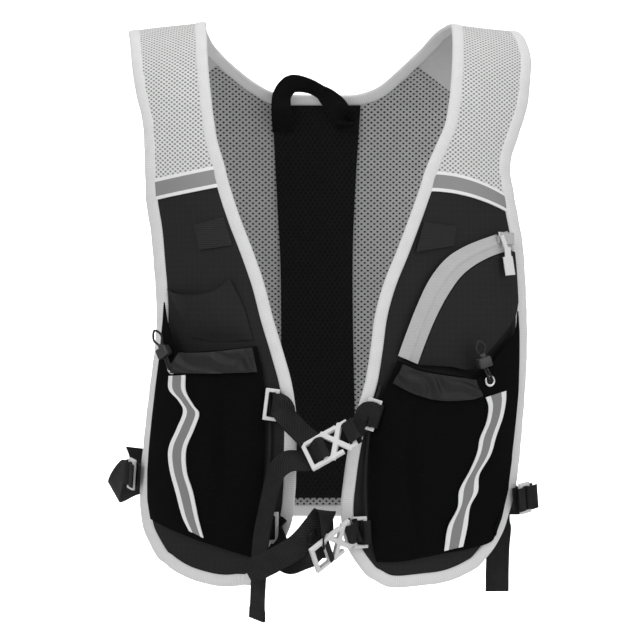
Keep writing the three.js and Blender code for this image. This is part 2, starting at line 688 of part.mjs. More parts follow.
function wavyStrip(pocket, rows, steps) {
  const { side } = pocket;
  const left = smoothLine(rows.map((row) => [row.left, row.leftDown]), side, steps);
  const right = smoothLine(rows.map((row) => [row.right, row.rightDown]), side, steps);
  const net = {
    bottom: straightLine(left[0], right[0], 2),
    top: straightLine(left[steps], right[steps], 2),
    left,
    right,
  };
  const height = (across, run) => pocketTop(pocket, across, run);
  addPart(`wavy_strip_${pocket.half}`, clothPanel(net, REFLECTIVE_WALL, height), REFLECTIVE);
}

wavyStrip(RIGHT_BOTTLE, table('left leftDown right rightDown', [
  [0.64, 0.908, 0.575, 0.918],
  [0.67, 0.885, 0.594, 0.888],
  [0.695, 0.85, 0.615, 0.848],
  [0.728, 0.81, 0.647, 0.815],
  [0.733, 0.78, 0.65, 0.78],
  [0.7, 0.75, 0.62, 0.75],
  [0.672, 0.722, 0.6, 0.725],
  [0.7, 0.705, 0.63, 0.712],
  [0.75, 0.688, 0.668, 0.69],
  [0.752, 0.672, 0.672, 0.67],
]), 20);

wavyStrip(LEFT_BOTTLE, table('left leftDown right rightDown', [
  [0.6, 0.938, 0.69, 0.932],
  [0.61, 0.9, 0.703, 0.9],
  [0.65, 0.87, 0.71, 0.868],
  [0.655, 0.842, 0.743, 0.845],
  [0.7, 0.812, 0.747, 0.818],
  [0.733, 0.785, 0.8, 0.788],
  [0.745, 0.762, 0.825, 0.76],
  [0.775, 0.738, 0.858, 0.73],
  [0.785, 0.715, 0.872, 0.706],
  [0.77, 0.699, 0.873, 0.69],
]), 18);

// Gathered band at a bottle pocket's mouth
const GATHER_DEPTH = 1.2;
const BAND_STEPS = 16;

function mouthBand(pocket, upper, lower) {
  const top = smoothLine(upper, pocket.side, BAND_STEPS);
  const bottom = smoothLine(lower, pocket.side, BAND_STEPS);
  const net = {
    bottom,
    top,
    left: straightLine(bottom[0], top[0], 3),
    right: straightLine(bottom[BAND_STEPS], top[BAND_STEPS], 3),
  };
  const height = (across, run, u, v) => {
    const gather = GATHER_DEPTH * Math.cos(Math.PI * BAND_STEPS * u) * Math.sin(Math.PI * v);
    return pocketTop(pocket, across, run) + GATHER_DEPTH + gather;
  };
  addPart(`mouth_band_${pocket.half}`, clothPanel(net, POCKET_WALL, height), BLACK_RIPSTOP);
}

mouthBand(RIGHT_BOTTLE, [[0.64, 0.631], [0.5, 0.629], [0.32, 0.622]], [[0.68, 0.662], [0.5, 0.662], [0.295, 0.66]]);
mouthBand(LEFT_BOTTLE, [[0.395, 0.648], [0.482, 0.659], [0.622, 0.667], [0.72, 0.672]],
  [[0.345, 0.677], [0.45, 0.694], [0.56, 0.703], [0.69, 0.702], [0.75, 0.697]]);

function elasticPatch(half, side, corners) {
  const places = corners.map(([across, down]) => (
    new THREE.Vector3(side * across * HALF_WIDTH, clothRun(down), 0)));
  const net = {
    bottom: straightLine(places[3], places[2], 4),
    top: straightLine(places[0], places[1], 4),
    left: straightLine(places[3], places[0], 3),
    right: straightLine(places[2], places[1], 3),
  };
  addPart(`elastic_patch_${half}`, clothPanel(net, ELASTIC_WALL, () => POCKET_BASE), WEBBING);
}

elasticPatch('right', -1, [[0.615, 0.43], [0.469, 0.419], [0.424, 0.463], [0.59, 0.47]]);
elasticPatch('left', 1, [[0.508, 0.427], [0.67, 0.434], [0.655, 0.464], [0.468, 0.474]]);

// Rails sewn beside the bottle pockets, on which the sternum straps slide

function strapRail(half, side, rows) {
  const steps = 12;
  const middle = smoothLine(rows, side, steps);
  const geometry = clothWall(1, steps, (u, v, through) => {
    const place = middle[Math.round(v * steps)];
    const across = place.x + RAIL_WIDTH * (u - 0.5);
    return onBody(across, place.y, POCKET_BASE + RAIL_HEIGHT * through);
  });
  addPart(`strap_rail_${half}`, geometry, BLACK_RIPSTOP);
}

strapRail('right', -1, [[0.31, 0.93], [0.262, 0.86], [0.243, 0.78], [0.243, 0.69]]);
strapRail('left', 1, [[0.235, 0.93], [0.222, 0.86], [0.224, 0.8], [0.245, 0.735], [0.295, 0.68]]);

// Solids joined and cut

function toSolid(geometry) {
  const plain = geometry.clone();
  plain.deleteAttribute('normal');
  plain.deleteAttribute('uv');
  const merged = mergeVertices(plain);
  const vertProperties = new Float32Array(merged.attributes.position.array);
  const triVerts = new Uint32Array(merged.index.array);
  return new wasm.Manifold(new wasm.Mesh({ numProp: 3, vertProperties, triVerts }));
}

function toGeometry(solid) {
  const mesh = solid.getMesh();
  const geometry = new THREE.BufferGeometry();
  geometry.setAttribute('position', new THREE.BufferAttribute(mesh.vertProperties, 3));
  geometry.setIndex(new THREE.BufferAttribute(mesh.triVerts, 1));
  return geometry;
}

// A flat bar with round ends from one point to another
function roundBar(from, to, width, wall) {
  const [ax, ay] = from;
  const [bx, by] = to;
  const turn = Math.atan2(by - ay, bx - ax);
  const shape = new THREE.Shape();
  shape.absarc(bx, by, width / 2, turn - Math.PI / 2, turn + Math.PI / 2);
  shape.absarc(ax, ay, width / 2, turn + Math.PI / 2, turn + 1.5 * Math.PI);
  const geometry = new THREE.ExtrudeGeometry(shape, { depth: wall, bevelEnabled: false, curveSegments: 4 });
  geometry.translate(0, 0, -wall / 2);
  return geometry;
}

function joinBars(bars, wall) {
  const solids = bars.map(([from, to, width]) => toSolid(roundBar(from, to, width, wall)));
  return toGeometry(solids.reduce((whole, bar) => whole.add(bar)));
}

// A frame of directions and a place, from local sizes to the vest
function localFrame(origin, alongDirection, upDirection) {
  const a = alongDirection.clone().normalize();
  const b = upDirection.clone().addScaledVector(a, -upDirection.dot(a)).normalize();
  const c = a.clone().cross(b);
  return new THREE.Matrix4().makeBasis(a, b, c).setPosition(origin);
}

// The frame that lies on the cloth, turned in its plane by an angle from level
function clothFrame(acrossShare, downShare, height, angle) {
  const across = acrossShare * HALF_WIDTH;
  const run = clothRun(downShare);
  const normal = bodyNormal(across, run);
  const level = new THREE.Vector3(1, 0, 0).addScaledVector(normal, -normal.x).normalize();
  const up = normal.clone().cross(level);
  const a = level.clone().multiplyScalar(Math.cos(angle)).addScaledVector(up, Math.sin(angle));
  return localFrame(onBody(across, run, height), a, normal.clone().cross(a));
}

function addFramed(name, geometry, look, frame) {
  const mesh = addPart(name, geometry, look);
  mesh.applyMatrix4(frame);
  return mesh;
}

// Hook buckles: a webbing window on the wearer's right, crossed bars and an end bar on the left,
// with two open fingers that let the left strap slip on and off

const BUCKLE_HALF_WIDTH = WEBBING_WIDTH / 2 + STRAP_SIDE_ROOM + BUCKLE_BAR / 2;
const LEFT_BAR = -BUCKLE_LENGTH / 2;
const MIDDLE_BAR = -0.175 * BUCKLE_LENGTH;
const END_BAR = BUCKLE_LENGTH / 2;
const CROSS_START = -0.04 * BUCKLE_LENGTH;
const CROSS_END = 0.36 * BUCKLE_LENGTH;
const UPPER_FINGER_END = 0.24 * BUCKLE_LENGTH;
const LOWER_FINGER_END = 0.17 * BUCKLE_LENGTH;
const CROSS_BAR = 1.25 * BUCKLE_BAR;

function buckleBars() {
  const half = BUCKLE_HALF_WIDTH;
  return [
    [[LEFT_BAR, -half], [LEFT_BAR, half], BUCKLE_BAR],
    [[MIDDLE_BAR, -half], [MIDDLE_BAR, half], BUCKLE_BAR],
    [[LEFT_BAR, half], [UPPER_FINGER_END, half], BUCKLE_BAR],
    [[LEFT_BAR, -half], [LOWER_FINGER_END, -half], BUCKLE_BAR],
    [[CROSS_START, half], [CROSS_END, -half], CROSS_BAR],
    [[CROSS_START, -half], [CROSS_END, half], CROSS_BAR],
    [[CROSS_END, half], [END_BAR, half], BUCKLE_BAR],
    [[CROSS_END, -half], [END_BAR, -half], BUCKLE_BAR],
    [[END_BAR, -half], [END_BAR, half], BUCKLE_BAR],
  ];
}

const UPPER_BUCKLE = localFrame(onBodyShare(0.039, 0.773, 20),
  new THREE.Vector3(0.85, 0.05, 0.52), new THREE.Vector3(-0.45, 0.35, 0.8));
const LOWER_BUCKLE = localFrame(onBodyShare(0.039, 0.938, 27),
  new THREE.Vector3(0.66, 0.48, 0.54), new THREE.Vector3(-0.3, -0.3, 0.86));

addFramed('sternum_buckle_upper', joinBars(buckleBars(), BUCKLE_BAR), PALE_PLASTIC, UPPER_BUCKLE);
addFramed('sternum_buckle_lower', joinBars(buckleBars(), BUCKLE_BAR), PALE_PLASTIC, LOWER_BUCKLE);

// Rings that clip the straps to the rails, and the like rings of the side straps

const RING_HALF_LENGTH = WEBBING_WIDTH / 2 + STRAP_SIDE_ROOM + RING_BAR / 2;
const RING_HALF_WIDTH = (RING_WIDTH - RING_BAR) / 2;

function ringBars() {
  const [wide, long] = [RING_HALF_WIDTH, RING_HALF_LENGTH];
  return [
    [[-wide, -long], [-wide, long], RING_BAR],
    [[wide, -long], [wide, long], RING_BAR],
    [[-wide, long], [wide, long], RING_BAR],
    [[-wide, -long], [wide, -long], RING_BAR],
  ];
}

const RING_HEIGHT = POCKET_BASE + RAIL_HEIGHT + LAYER_GAP + RING_BAR / 2;
const RINGS = {
  upper_right: clothFrame(-0.222, 0.71, RING_HEIGHT, -0.12),
  lower_right: clothFrame(-0.232, 0.9, RING_HEIGHT, 0),
  upper_left: clothFrame(0.244, 0.722, RING_HEIGHT, -0.3),
  lower_left: clothFrame(0.195, 0.907, RING_HEIGHT, 0.05),
};
for (const [place, frame] of Object.entries(RINGS)) {
  addFramed(`strap_ring_${place}`, joinBars(ringBars(), RING_BAR), PALE_PLASTIC, frame);
}

const SIDE_RINGS = {
  right: clothFrame(-0.9, 0.826, RING_HEIGHT + 3, -0.15),
  left: clothFrame(0.985, 0.86, RING_HEIGHT + 3, 0.1),
};
for (const [half, frame] of Object.entries(SIDE_RINGS)) {
  addFramed(`side_ring_${half}`, joinBars(ringBars(), RING_BAR), PALE_PLASTIC, frame);
}

// Webbing follows stations that each have a middle point and the direction of its width

function station(point, widthDirection) {
  return { point, width: widthDirection.clone().normalize() };
}

function framed(frame, a, b, c, lean = 0, swing = 0) {
  const inPlane = Math.cos(lean);
  const width = new THREE.Vector3(Math.sin(swing) * inPlane, Math.cos(swing) * inPlane, Math.sin(lean))
    .transformDirection(frame);
  return station(new THREE.Vector3(a, b, c).applyMatrix4(frame), width);
}

function onCloth(acrossShare, downShare, height, angle, lean = 0) {
  return framed(clothFrame(acrossShare, downShare, height, angle), 0, 0, 0, lean);
}

function webbing(name, stations, steps, width = WEBBING_WIDTH) {
  const middle = new THREE.CatmullRomCurve3(stations.map((s) => s.point), false, 'centripetal');
  const turn = new THREE.CatmullRomCurve3(stations.map((s) => s.width), false, 'centripetal');
  const geometry = clothWall(1, steps, (u, v, through) => {
    const t = v;
    const across = turn.getPoint(t);
    const tangent = middle.getTangent(t);
    across.addScaledVector(tangent, -across.dot(tangent)).normalize();
    const face = tangent.cross(across).normalize();
    return middle.getPoint(t).addScaledVector(across, width * (u - 0.5))
      .addScaledVector(face, WEBBING_WALL * (through - 0.5));
  });
  addPart(name, geometry, WEBBING);
}

// The stations of a strap that turns round a bar, from behind the bar to its front
function turnRound(frame, at, side, reach, bar) {
  const radius = bar * Math.SQRT1_2 + STRAP_GAP + WEBBING_WALL / 2;
  const bend = radius * Math.SQRT1_2;
  return [
    framed(frame, at - side * reach, 0, -radius),
    framed(frame, at, 0, -radius),
    framed(frame, at + side * bend, 0, -bend),
    framed(frame, at + side * radius, 0, 0),
    framed(frame, at + side * bend, 0, bend),
    framed(frame, at, 0, radius),
    framed(frame, at - side * reach, 0, radius),
  ];
}

// How many mesh steps a strap gets between two of its stations
const STATION_STEPS = 2;

function strap(name, stations) {
  webbing(name, stations, STATION_STEPS * (stations.length - 1));
}

strap('sternum_strap_upper_right', [
  ...turnRound(RINGS.upper_right, RING_HALF_WIDTH, -1, 6, RING_BAR),
  framed(UPPER_BUCKLE, -17, 36, 5, 0, 1.2),
  framed(UPPER_BUCKLE, -13, 22, -2, 0, 1.4),
  framed(UPPER_BUCKLE, -11, 10, -6.4, 0, 1.5),
  framed(UPPER_BUCKLE, -10, 0, -8, 0, 1.5),
]);

strap('sternum_tail_upper_right', [
  ...turnRound(UPPER_BUCKLE, MIDDLE_BAR, 1, 1.5, BUCKLE_BAR),
  framed(UPPER_BUCKLE, -13.4, 0, 0),
  framed(UPPER_BUCKLE, -16.6, 0, -3),
  framed(UPPER_BUCKLE, -22, 0, -4),
  framed(UPPER_BUCKLE, -33, 1, -5),
  onCloth(-0.21, 0.822, 15, 0.8, -0.4),
  onCloth(-0.262, 0.87, 15, 1.3, -0.4),
  onCloth(-0.283, 0.92, 15, 1.45, -0.3),
  onCloth(-0.31, 0.97, 15, 1.5, -0.3),
  onCloth(-0.325, 1.01, 15, 1.55, -0.4),
  onCloth(-0.32, 1.045, 15, 1.55, -0.5),
]);

strap('sternum_strap_upper_left', [
  ...turnRound(RINGS.upper_left, -RING_HALF_WIDTH, 1, 8, RING_BAR),
  framed(UPPER_BUCKLE, 33, 0, 5.2),
  ...turnRound(UPPER_BUCKLE, END_BAR, -1, 8, BUCKLE_BAR).reverse(),
]);

strap('sternum_strap_lower_right', [
  framed(LOWER_BUCKLE, -21, 0, -5.6),
  framed(LOWER_BUCKLE, -28, -1, -6.6),
  framed(LOWER_BUCKLE, -36, -3, -6),
  onCloth(-0.2, 0.98, 10, 0.25),
  onCloth(-0.27, 0.985, 4.8, 0.2),
]);

strap('sternum_tail_lower_right', [
  ...turnRound(LOWER_BUCKLE, MIDDLE_BAR, 1, 1.5, BUCKLE_BAR).slice(0, 6),
  framed(LOWER_BUCKLE, -12, 1, 8, 0.1),
  framed(LOWER_BUCKLE, -12, 14, 15, 0.3, 0.7),
  onCloth(0.02, 0.882, 40, 1, -0.3),
  onCloth(-0.05, 0.885, 38, 0.7, -0.3),
  onCloth(-0.12, 0.91, 34, 0.7, -0.2),
  onCloth(-0.22, 0.945, 29, 0.6, -0.1),
  onCloth(-0.33, 0.972, 26, 0.5, -0.1),
]);

strap('sternum_strap_lower_left', [
  ...turnRound(RINGS.lower_left, -RING_HALF_WIDTH, 1, 5, RING_BAR + STRAP_GAP).slice(0, 6),
  ...turnRound(LOWER_BUCKLE, END_BAR, -1, 5, BUCKLE_BAR).reverse(),
]);

// Side straps run from a ring at the front half's outer edge round the wearer's side to the back

const SIDE_STRAP_REACH = 176;
const SIDE_STRAP_TAIL = 62;

function sideStrap(half, side, frontDown, backDown, ring) {
  const upright = new THREE.Vector3(0, 0, 1);
  const front = onBodyShare(side * 0.9, frontDown, 0);
  const back = onBodyShare(side * 0.76, backDown, MESH_WALL + LAYER_GAP + WEBBING_WALL);
  const middle = new THREE.Vector3(side * SIDE_STRAP_REACH, (front.y + back.y) / 2, (front.z + back.z) / 2);
  const behind = new THREE.Vector3(side * 0.93 * SIDE_STRAP_REACH, 0.75 * back.y, 0.2 * front.z + 0.8 * back.z);
  strap(`side_strap_${half}`, [
    ...turnRound(ring, side * RING_HALF_WIDTH, -side, 7, RING_BAR),
    station(middle, upright),
    station(behind, upright),
    station(back.clone().add(new THREE.Vector3(side * 8, -3, 0)), upright),
    station(back, upright),
  ]);
}

sideStrap('right', -1, 0.826, -0.74, SIDE_RINGS.right);
sideStrap('left', 1, 0.86, -0.74, SIDE_RINGS.left);

function sideTab(half, side, ring, turnDown) {
  const stations = turnRound(ring, -side * RING_HALF_WIDTH, side, 6, RING_BAR);
  strap(`side_tab_${half}`, turnDown ? stations : stations.slice(0, 7));
}

sideTab('right', -1, SIDE_RINGS.right, false);
sideTab('left', 1, SIDE_RINGS.left, false);

// Grab handle over the neck, a ribbon arch sewn inside the top of the back panel

function grabHandle() {
  const middle = -0.053 * HALF_WIDTH;
  const half = HANDLE_SPAN / 2;
  const top = bodyPoint(middle, clothRun(-0.204));
  const arch = (share, rise, depth, width) => station(
    new THREE.Vector3(middle + share * half, top.y - depth, top.z + rise),
    new THREE.Vector3(...width));
  const foot = (side) => [
    station(onBody(middle + side * half, clothRun(-0.285), -4.9), new THREE.Vector3(-side, 0, 0)),
    station(onBody(middle + side * 1.03 * half, clothRun(-0.25), -7), new THREE.Vector3(-side, 0.4, -0.1)),
    arch(side * 1.02, -4, 11, [-0.6 * side, 0.85, -0.3]),
    arch(side * 0.85, 0.55 * HANDLE_RISE, 14, [-0.35 * side, 0.85, -0.4]),
  ];
  webbing('grab_handle', [
    ...foot(-1),
    arch(-0.3, HANDLE_RISE, 15, [0.1, 0.85, -0.5]),
    arch(0.4, 0.9 * HANDLE_RISE, 15, [-0.1, 0.85, -0.5]),
    ...foot(1).reverse(),
  ], 30, HANDLE_WIDTH);
}

grabHandle();

// Zip slider and its pull

const SLIDER_FRAME = clothFrame(0.93, 0.455, zipHeight(0.93 * HALF_WIDTH, 0.455 * FRONT_LENGTH), 0);

function zipSlider() {
  const base = ZIP_TAPE_WALL + LAYER_GAP;
  const block = roundBar([-SLIDER_LENGTH / 4, 0], [SLIDER_LENGTH / 4, 0], SLIDER_WIDTH, SLIDER_HEIGHT);
  block.translate(0, 0, base + SLIDER_HEIGHT / 2);
  addFramed('zip_slider', toGeometry(toSolid(block)), BRIGHT_METAL, SLIDER_FRAME);
  const neck = roundBar([-2, 0], [-0.3, -0.75 * PULL_LENGTH], 0.4 * PULL_WIDTH, PULL_WALL);
  const paddle = roundBar([-0.8, -0.72 * PULL_LENGTH], [0, -0.9 * PULL_LENGTH], PULL_WIDTH, PULL_WALL);
  const pull = toGeometry(toSolid(neck).add(toSolid(paddle)));
  pull.translate(0, 0, base + SLIDER_HEIGHT + LAYER_GAP + PULL_WALL / 2);
  addFramed('zip_pull', pull, PALE_PLASTIC, SLIDER_FRAME);
}

zipSlider();

// Cord locks and eyelets at the bottle pockets, with an elastic cord looped through each lock

function ringPlate(outer, inner, wall) {
  outer.holes.push(inner);
  const geometry = new THREE.ExtrudeGeometry(outer, { depth: wall, bevelEnabled: false, curveSegments: 8 });
  geometry.translate(0, 0, -wall / 2);
  return toGeometry(toSolid(geometry));
}

function roundRectangle(width, depth) {
  const radius = depth / 2;
  const straight = (width - depth) / 2;
  const shape = new THREE.Shape();
  shape.absarc(straight, 0, radius, -Math.PI / 2, Math.PI / 2);
  shape.absarc(-straight, 0, radius, Math.PI / 2, 1.5 * Math.PI);
  return shape;
}

function circle(radius) {
  return new THREE.Shape().absarc(0, 0, radius, 0, 2 * Math.PI);
}

const CORD_ROOM = CORD_SPACING + CORD_DIAMETER + 2 * SEAM_GAP;

function pocketCord(pocket, eyeletAt, lockAt, loopHeight, angle) {
  const { side, half } = pocket;
  const heightAt = ([across, down]) => (
    pocketTop(pocket, side * across * HALF_WIDTH, down * FRONT_LENGTH));
  const eyelet = clothFrame(side * eyeletAt[0], eyeletAt[1], heightAt(eyeletAt) + EYELET_WALL, angle);
  addFramed(`eyelet_${half}`, ringPlate(circle(EYELET_DIAMETER / 2), circle(CORD_ROOM / 2), EYELET_WALL),
    BRIGHT_METAL, eyelet);

  const lock = clothFrame(side * lockAt[0], lockAt[1], heightAt(lockAt) + LOCK_ROOM + LOCK_DEPTH / 2, angle);
  const body = ringPlate(roundRectangle(LOCK_WIDTH, LOCK_DEPTH),
    roundRectangle(CORD_ROOM, CORD_DIAMETER + 2 * SEAM_GAP), LOCK_HEIGHT);
  body.rotateX(-Math.PI / 2);
  addFramed(`cord_lock_${half}`, body, DARK_PLASTIC, lock);

  const strand = CORD_SPACING / 2;
  const inLock = (a, b, c) => new THREE.Vector3(a, b, c).applyMatrix4(lock);
  const inEyelet = (a, b, c) => new THREE.Vector3(a, b, c).applyMatrix4(eyelet);
  const up = (s) => [
    inEyelet(s * strand, 0, 0),
    inEyelet(s * strand, 0, 2.6),
    inLock(s * strand, -0.5 * LOCK_HEIGHT - 1, 0),
    inLock(s * strand, 0, 0),
    inLock(s * strand, 0.5 * LOCK_HEIGHT + 1, 0),
  ];
  const wide = 0.3 * loopHeight;
  const path = new THREE.CatmullRomCurve3([
    ...up(-1),
    inLock(-wide, LOCK_HEIGHT / 2 + 0.6 * loopHeight, 0.6),
    inLock(0, LOCK_HEIGHT / 2 + loopHeight, 1),
    inLock(wide, LOCK_HEIGHT / 2 + 0.6 * loopHeight, 0.6),
    ...up(1).reverse(),
  ], false, 'centripetal');
  const section = new THREE.Shape();
  section.absarc(0, 0, CORD_DIAMETER / 2, 0, 2 * Math.PI);
  const geometry = new THREE.ExtrudeGeometry(section, { extrudePath: path, steps: 30, curveSegments: 3 });
  addPart(`pocket_cord_${half}`, toGeometry(toSolid(geometry)), WEBBING);
}

pocketCord(RIGHT_BOTTLE, [0.73, 0.656], [0.768, 0.632], 16, 0.5);
pocketCord(LEFT_BOTTLE, [0.79, 0.674], [0.755, 0.645], 14, 0.3);

export default vest;
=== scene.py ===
import json
import logging
import math
from dataclasses import dataclass
from enum import Enum
from typing import Callable, Sequence

import bpy
import numpy as np
from mathutils import Matrix, Vector, noise

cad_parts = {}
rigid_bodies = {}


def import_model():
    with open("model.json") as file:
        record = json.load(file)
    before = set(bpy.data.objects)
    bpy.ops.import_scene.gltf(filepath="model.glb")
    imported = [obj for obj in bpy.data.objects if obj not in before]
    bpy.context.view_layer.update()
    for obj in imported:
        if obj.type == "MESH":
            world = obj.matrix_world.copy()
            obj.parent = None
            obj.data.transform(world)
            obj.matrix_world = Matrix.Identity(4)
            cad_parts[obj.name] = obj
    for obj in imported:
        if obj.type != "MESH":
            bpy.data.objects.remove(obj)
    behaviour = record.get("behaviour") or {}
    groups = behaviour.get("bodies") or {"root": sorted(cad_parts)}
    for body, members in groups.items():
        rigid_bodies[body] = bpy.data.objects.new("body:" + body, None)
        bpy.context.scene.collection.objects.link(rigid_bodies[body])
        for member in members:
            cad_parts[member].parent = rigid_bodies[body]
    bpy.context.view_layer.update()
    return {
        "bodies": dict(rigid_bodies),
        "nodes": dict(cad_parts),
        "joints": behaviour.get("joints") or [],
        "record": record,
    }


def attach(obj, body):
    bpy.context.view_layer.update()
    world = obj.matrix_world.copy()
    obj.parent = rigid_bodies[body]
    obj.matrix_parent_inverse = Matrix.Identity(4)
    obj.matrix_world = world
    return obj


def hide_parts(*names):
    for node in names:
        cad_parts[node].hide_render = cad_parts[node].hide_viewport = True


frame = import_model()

log = logging.getLogger("hydration_vest")

# The front faces -Y, the wearer's left is +X, and the origin lies between the shoulders.
# All sizes are in metres.

Table = tuple[tuple[float, ...], ...]
Reals = np.ndarray
Piece = bpy.types.Object
HeightRule = Callable[[Reals, Reals, Reals, Reals], Reals]
Pattern = tuple[dict, bpy.types.Node | bpy.types.NodeSocket]

ROOT_BODY = "root"


# Small helpers

def deselect_all() -> None:
    """Leaves no object selected, so that an operator acts on new work alone."""
    if bpy.context.object and bpy.context.object.mode != "OBJECT":
        bpy.ops.object.mode_set(mode="OBJECT")
    bpy.ops.object.select_all(action="DESELECT")


def select_only(obj: Piece) -> None:
    """Selects one object and makes it the active one."""
    deselect_all()
    obj.select_set(True)
    bpy.context.view_layer.objects.active = obj


def apply_modifier(obj: Piece, kind: str, **settings: object) -> None:
    """Adds a modifier with its settings and applies it.

    Args:
        obj: The piece to change.
        kind: The modifier's type, such as SOLIDIFY.
        settings: The modifier's properties.
    """
    select_only(obj)
    modifier = obj.modifiers.new(kind.lower(), kind)
    for name, value in settings.items():
        setattr(modifier, name, value)
    bpy.ops.object.modifier_apply(modifier=modifier.name)


def smooth_shading(obj: Piece, degrees: float = 50.0) -> None:
    """Shades faces smoothly where they meet at less than an angle."""
    select_only(obj)
    bpy.ops.object.shade_smooth_by_angle(angle=math.radians(degrees))


def hand_over(obj: Piece, finish: bpy.types.Material, slot: str, *nodes: str) -> None:
    """Gives a finished piece its material and its body, and hides the nodes that it stands for.

    Args:
        obj: The finished piece.
        finish: Its material.
        slot: The record's material slot; not used.
        nodes: The nodes that the piece replaces.
    """
    obj.data.materials.append(finish)
    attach(obj, ROOT_BODY)
    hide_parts(*nodes)
    log.info("made %s", obj.name)


def join(name: str, parts: Sequence[Piece]) -> Piece:
    """Makes one named piece of several."""
    select_only(parts[0])
    for part in parts[1:]:
        part.select_set(True)
    if len(parts) > 1:
        bpy.ops.object.join()
    parts[0].name = name
    parts[0].data.name = name
    return parts[0]


def unit(vectors: Reals) -> Reals:
    """Vectors of length one."""
    return vectors / np.maximum(np.linalg.norm(vectors, axis=-1, keepdims=True), 1e-12)


# The body that the vest is shaped on

@dataclass(frozen=True)
class BodyForm:
    """The worn form: a smooth body given by its side profile and how far it reaches sideways.

    A place on the cloth is given by its distance across the body and its run along the cloth,
    positive down the front and negative down the back.
    """

    front_length: float = 0.540
    back_length: float = 0.490
    half_width: float = 0.170
    chest_depth: float = 0.123
    back_depth: float = 0.106
    front_roundness: float = 2.2
    back_roundness: float = 2.6
    neck_half_width: float = 0.100
    neck_rise: float = 0.0045
    shoulder_slope: float = 0.114
    shoulder_run: float = 0.095
    # down the cloth, fall, depth, and reach to the right and to the left, as shares
    profile: Table = (
        (-1.1, 0.99, -0.88, 1.06, 1.11), (-1, 0.894, -0.93, 1.06, 1.11),
        (-0.735, 0.629, -0.98, 1.06, 1.11), (-0.53, 0.424, -1, 1.06, 1.11),
        (-0.388, 0.282, -0.972, 1.08, 1.13), (-0.286, 0.182, -0.887, 1.12, 1.18),
        (-0.194, 0.096, -0.726, 1.18, 1.224), (-0.122, 0.043, -0.509, 1.2, 1.247),
        (-0.061, 0.01, -0.274, 1.224, 1.259), (0, 0, 0, 1.235, 1.27),
        (0.056, 0.009, 0.236, 1.224, 1.259), (0.111, 0.037, 0.447, 1.2, 1.247),
        (0.176, 0.083, 0.65, 1.165, 1.224), (0.259, 0.159, 0.821, 1.118, 1.2),
        (0.352, 0.248, 0.927, 1.059, 1.165), (0.481, 0.376, 0.992, 0.965, 1.188),
        (0.667, 0.561, 1, 0.953, 1.2), (0.852, 0.746, 0.959, 0.965, 1.176),
        (1, 0.894, 0.894, 0.94, 1.153), (1.08, 0.973, 0.86, 0.93, 1.14),
    )

    def run(self, share: float) -> float:
        """The run along the cloth for a share of the front or, below zero, of the back length."""
        return share * (self.front_length if share > 0 else self.back_length)

    def rows(self) -> Reals:
        """The profile in metres: run, fall, depth, right reach and left reach."""
        made = []
        for down, fall, depth, right, left in self.profile:
            length = self.front_length if down > 0 else self.back_length
            thick = self.chest_depth if down > 0 else self.back_depth
            made.append((self.run(down), fall * length, depth * thick,
                    right * self.half_width, left * self.half_width))
        return np.array(made)

    def read(self, column: int, run: Reals) -> Reals:
        """Smooth reading of one column of the profile at runs along the cloth."""
        return read_table(self.rows()[:, 0], self.rows()[:, column], run)

    def point(self, across: Reals, run: Reals) -> Reals:
        """Points of the body under the cloth."""
        reach = np.where(across < 0, self.read(3, run), self.read(4, run))
        roundness = np.where(run > 0, self.front_roundness, self.back_roundness)
        share = np.minimum(np.abs(across) / reach, 0.99)
        bulge = (1 - share ** roundness) ** (1 / roundness)
        outward = np.maximum(np.abs(across) - self.neck_half_width, 0)
        rise = (self.neck_rise - self.shoulder_slope * outward) * np.exp(-(run / self.shoulder_run) ** 2)
        return np.stack([across, -self.read(2, run) * bulge, rise - self.read(1, run)], axis=-1)

    def normal(self, across: Reals, run: Reals) -> Reals:
        """Outward directions of the body."""
        step = 0.0005
        sideways = self.point(across + step, run) - self.point(across - step, run)
        along = self.point(across, run + step) - self.point(across, run - step)
        return unit(np.cross(along, sideways))

    def above(self, across: Reals, run: Reals, height: Reals) -> Reals:
        """Points at a height above the body."""
        across, run = np.asarray(across, float), np.asarray(run, float)
        height = np.broadcast_to(np.asarray(height, float), across.shape)
        return self.point(across, run) + self.normal(across, run) * height[..., None]

    def spot(self, across: float, down: float, height: float) -> Vector:
        """One point at a height above the body, from its shares across and down."""
        place = np.array([across * self.half_width]), np.array([self.run(down)])
        return Vector(self.above(*place, height)[0])

    def girth(self, across: Reals, run: Reals) -> Reals:
        """Distance over the body from its middle line to a place, for patterns that keep their size."""
        steps = 24
        shares = np.linspace(0, 1, steps + 1)[:, None]
        points = self.point(across[None, :] * shares, np.broadcast_to(run, (steps + 1, run.size)))
        lengths = np.linalg.norm(np.diff(points, axis=0), axis=-1).sum(axis=0)
        return np.sign(across) * lengths


def span(t: Reals | float, start: Reals, end: Reals, leave: Reals, arrive: Reals) -> Reals:
    """Points at shares of a smooth span that leaves and arrives in given directions."""
    return ((2 * t ** 3 - 3 * t ** 2 + 1) * start + (3 * t ** 2 - 2 * t ** 3) * end
            + (t ** 3 - 2 * t ** 2 + t) * leave + (t ** 3 - t ** 2) * arrive)


def read_table(keys: Reals, values: Reals, at: Reals) -> Reals:
    """Smooth reading of a table between its rows.

    Args:
        keys: The rising keys of the rows.
        values: The values of the rows.
        at: Where to read.

    Returns:
        The values there.
    """
    at = np.asarray(at, float)
    last = len(keys) - 1
    row = np.clip(np.searchsorted(keys, at, side="right") - 1, 0, last - 1)
    before, after = np.maximum(np.arange(last + 1) - 1, 0), np.minimum(np.arange(last + 1) + 1, last)
    slope = (values[after] - values[before]) / (keys[after] - keys[before])
    step = keys[row + 1] - keys[row]
    t = np.clip((at - keys[row]) / step, 0, 1)
    return span(t, values[row], values[row + 1], step * slope[row], step * slope[row + 1])


BODY = BodyForm()


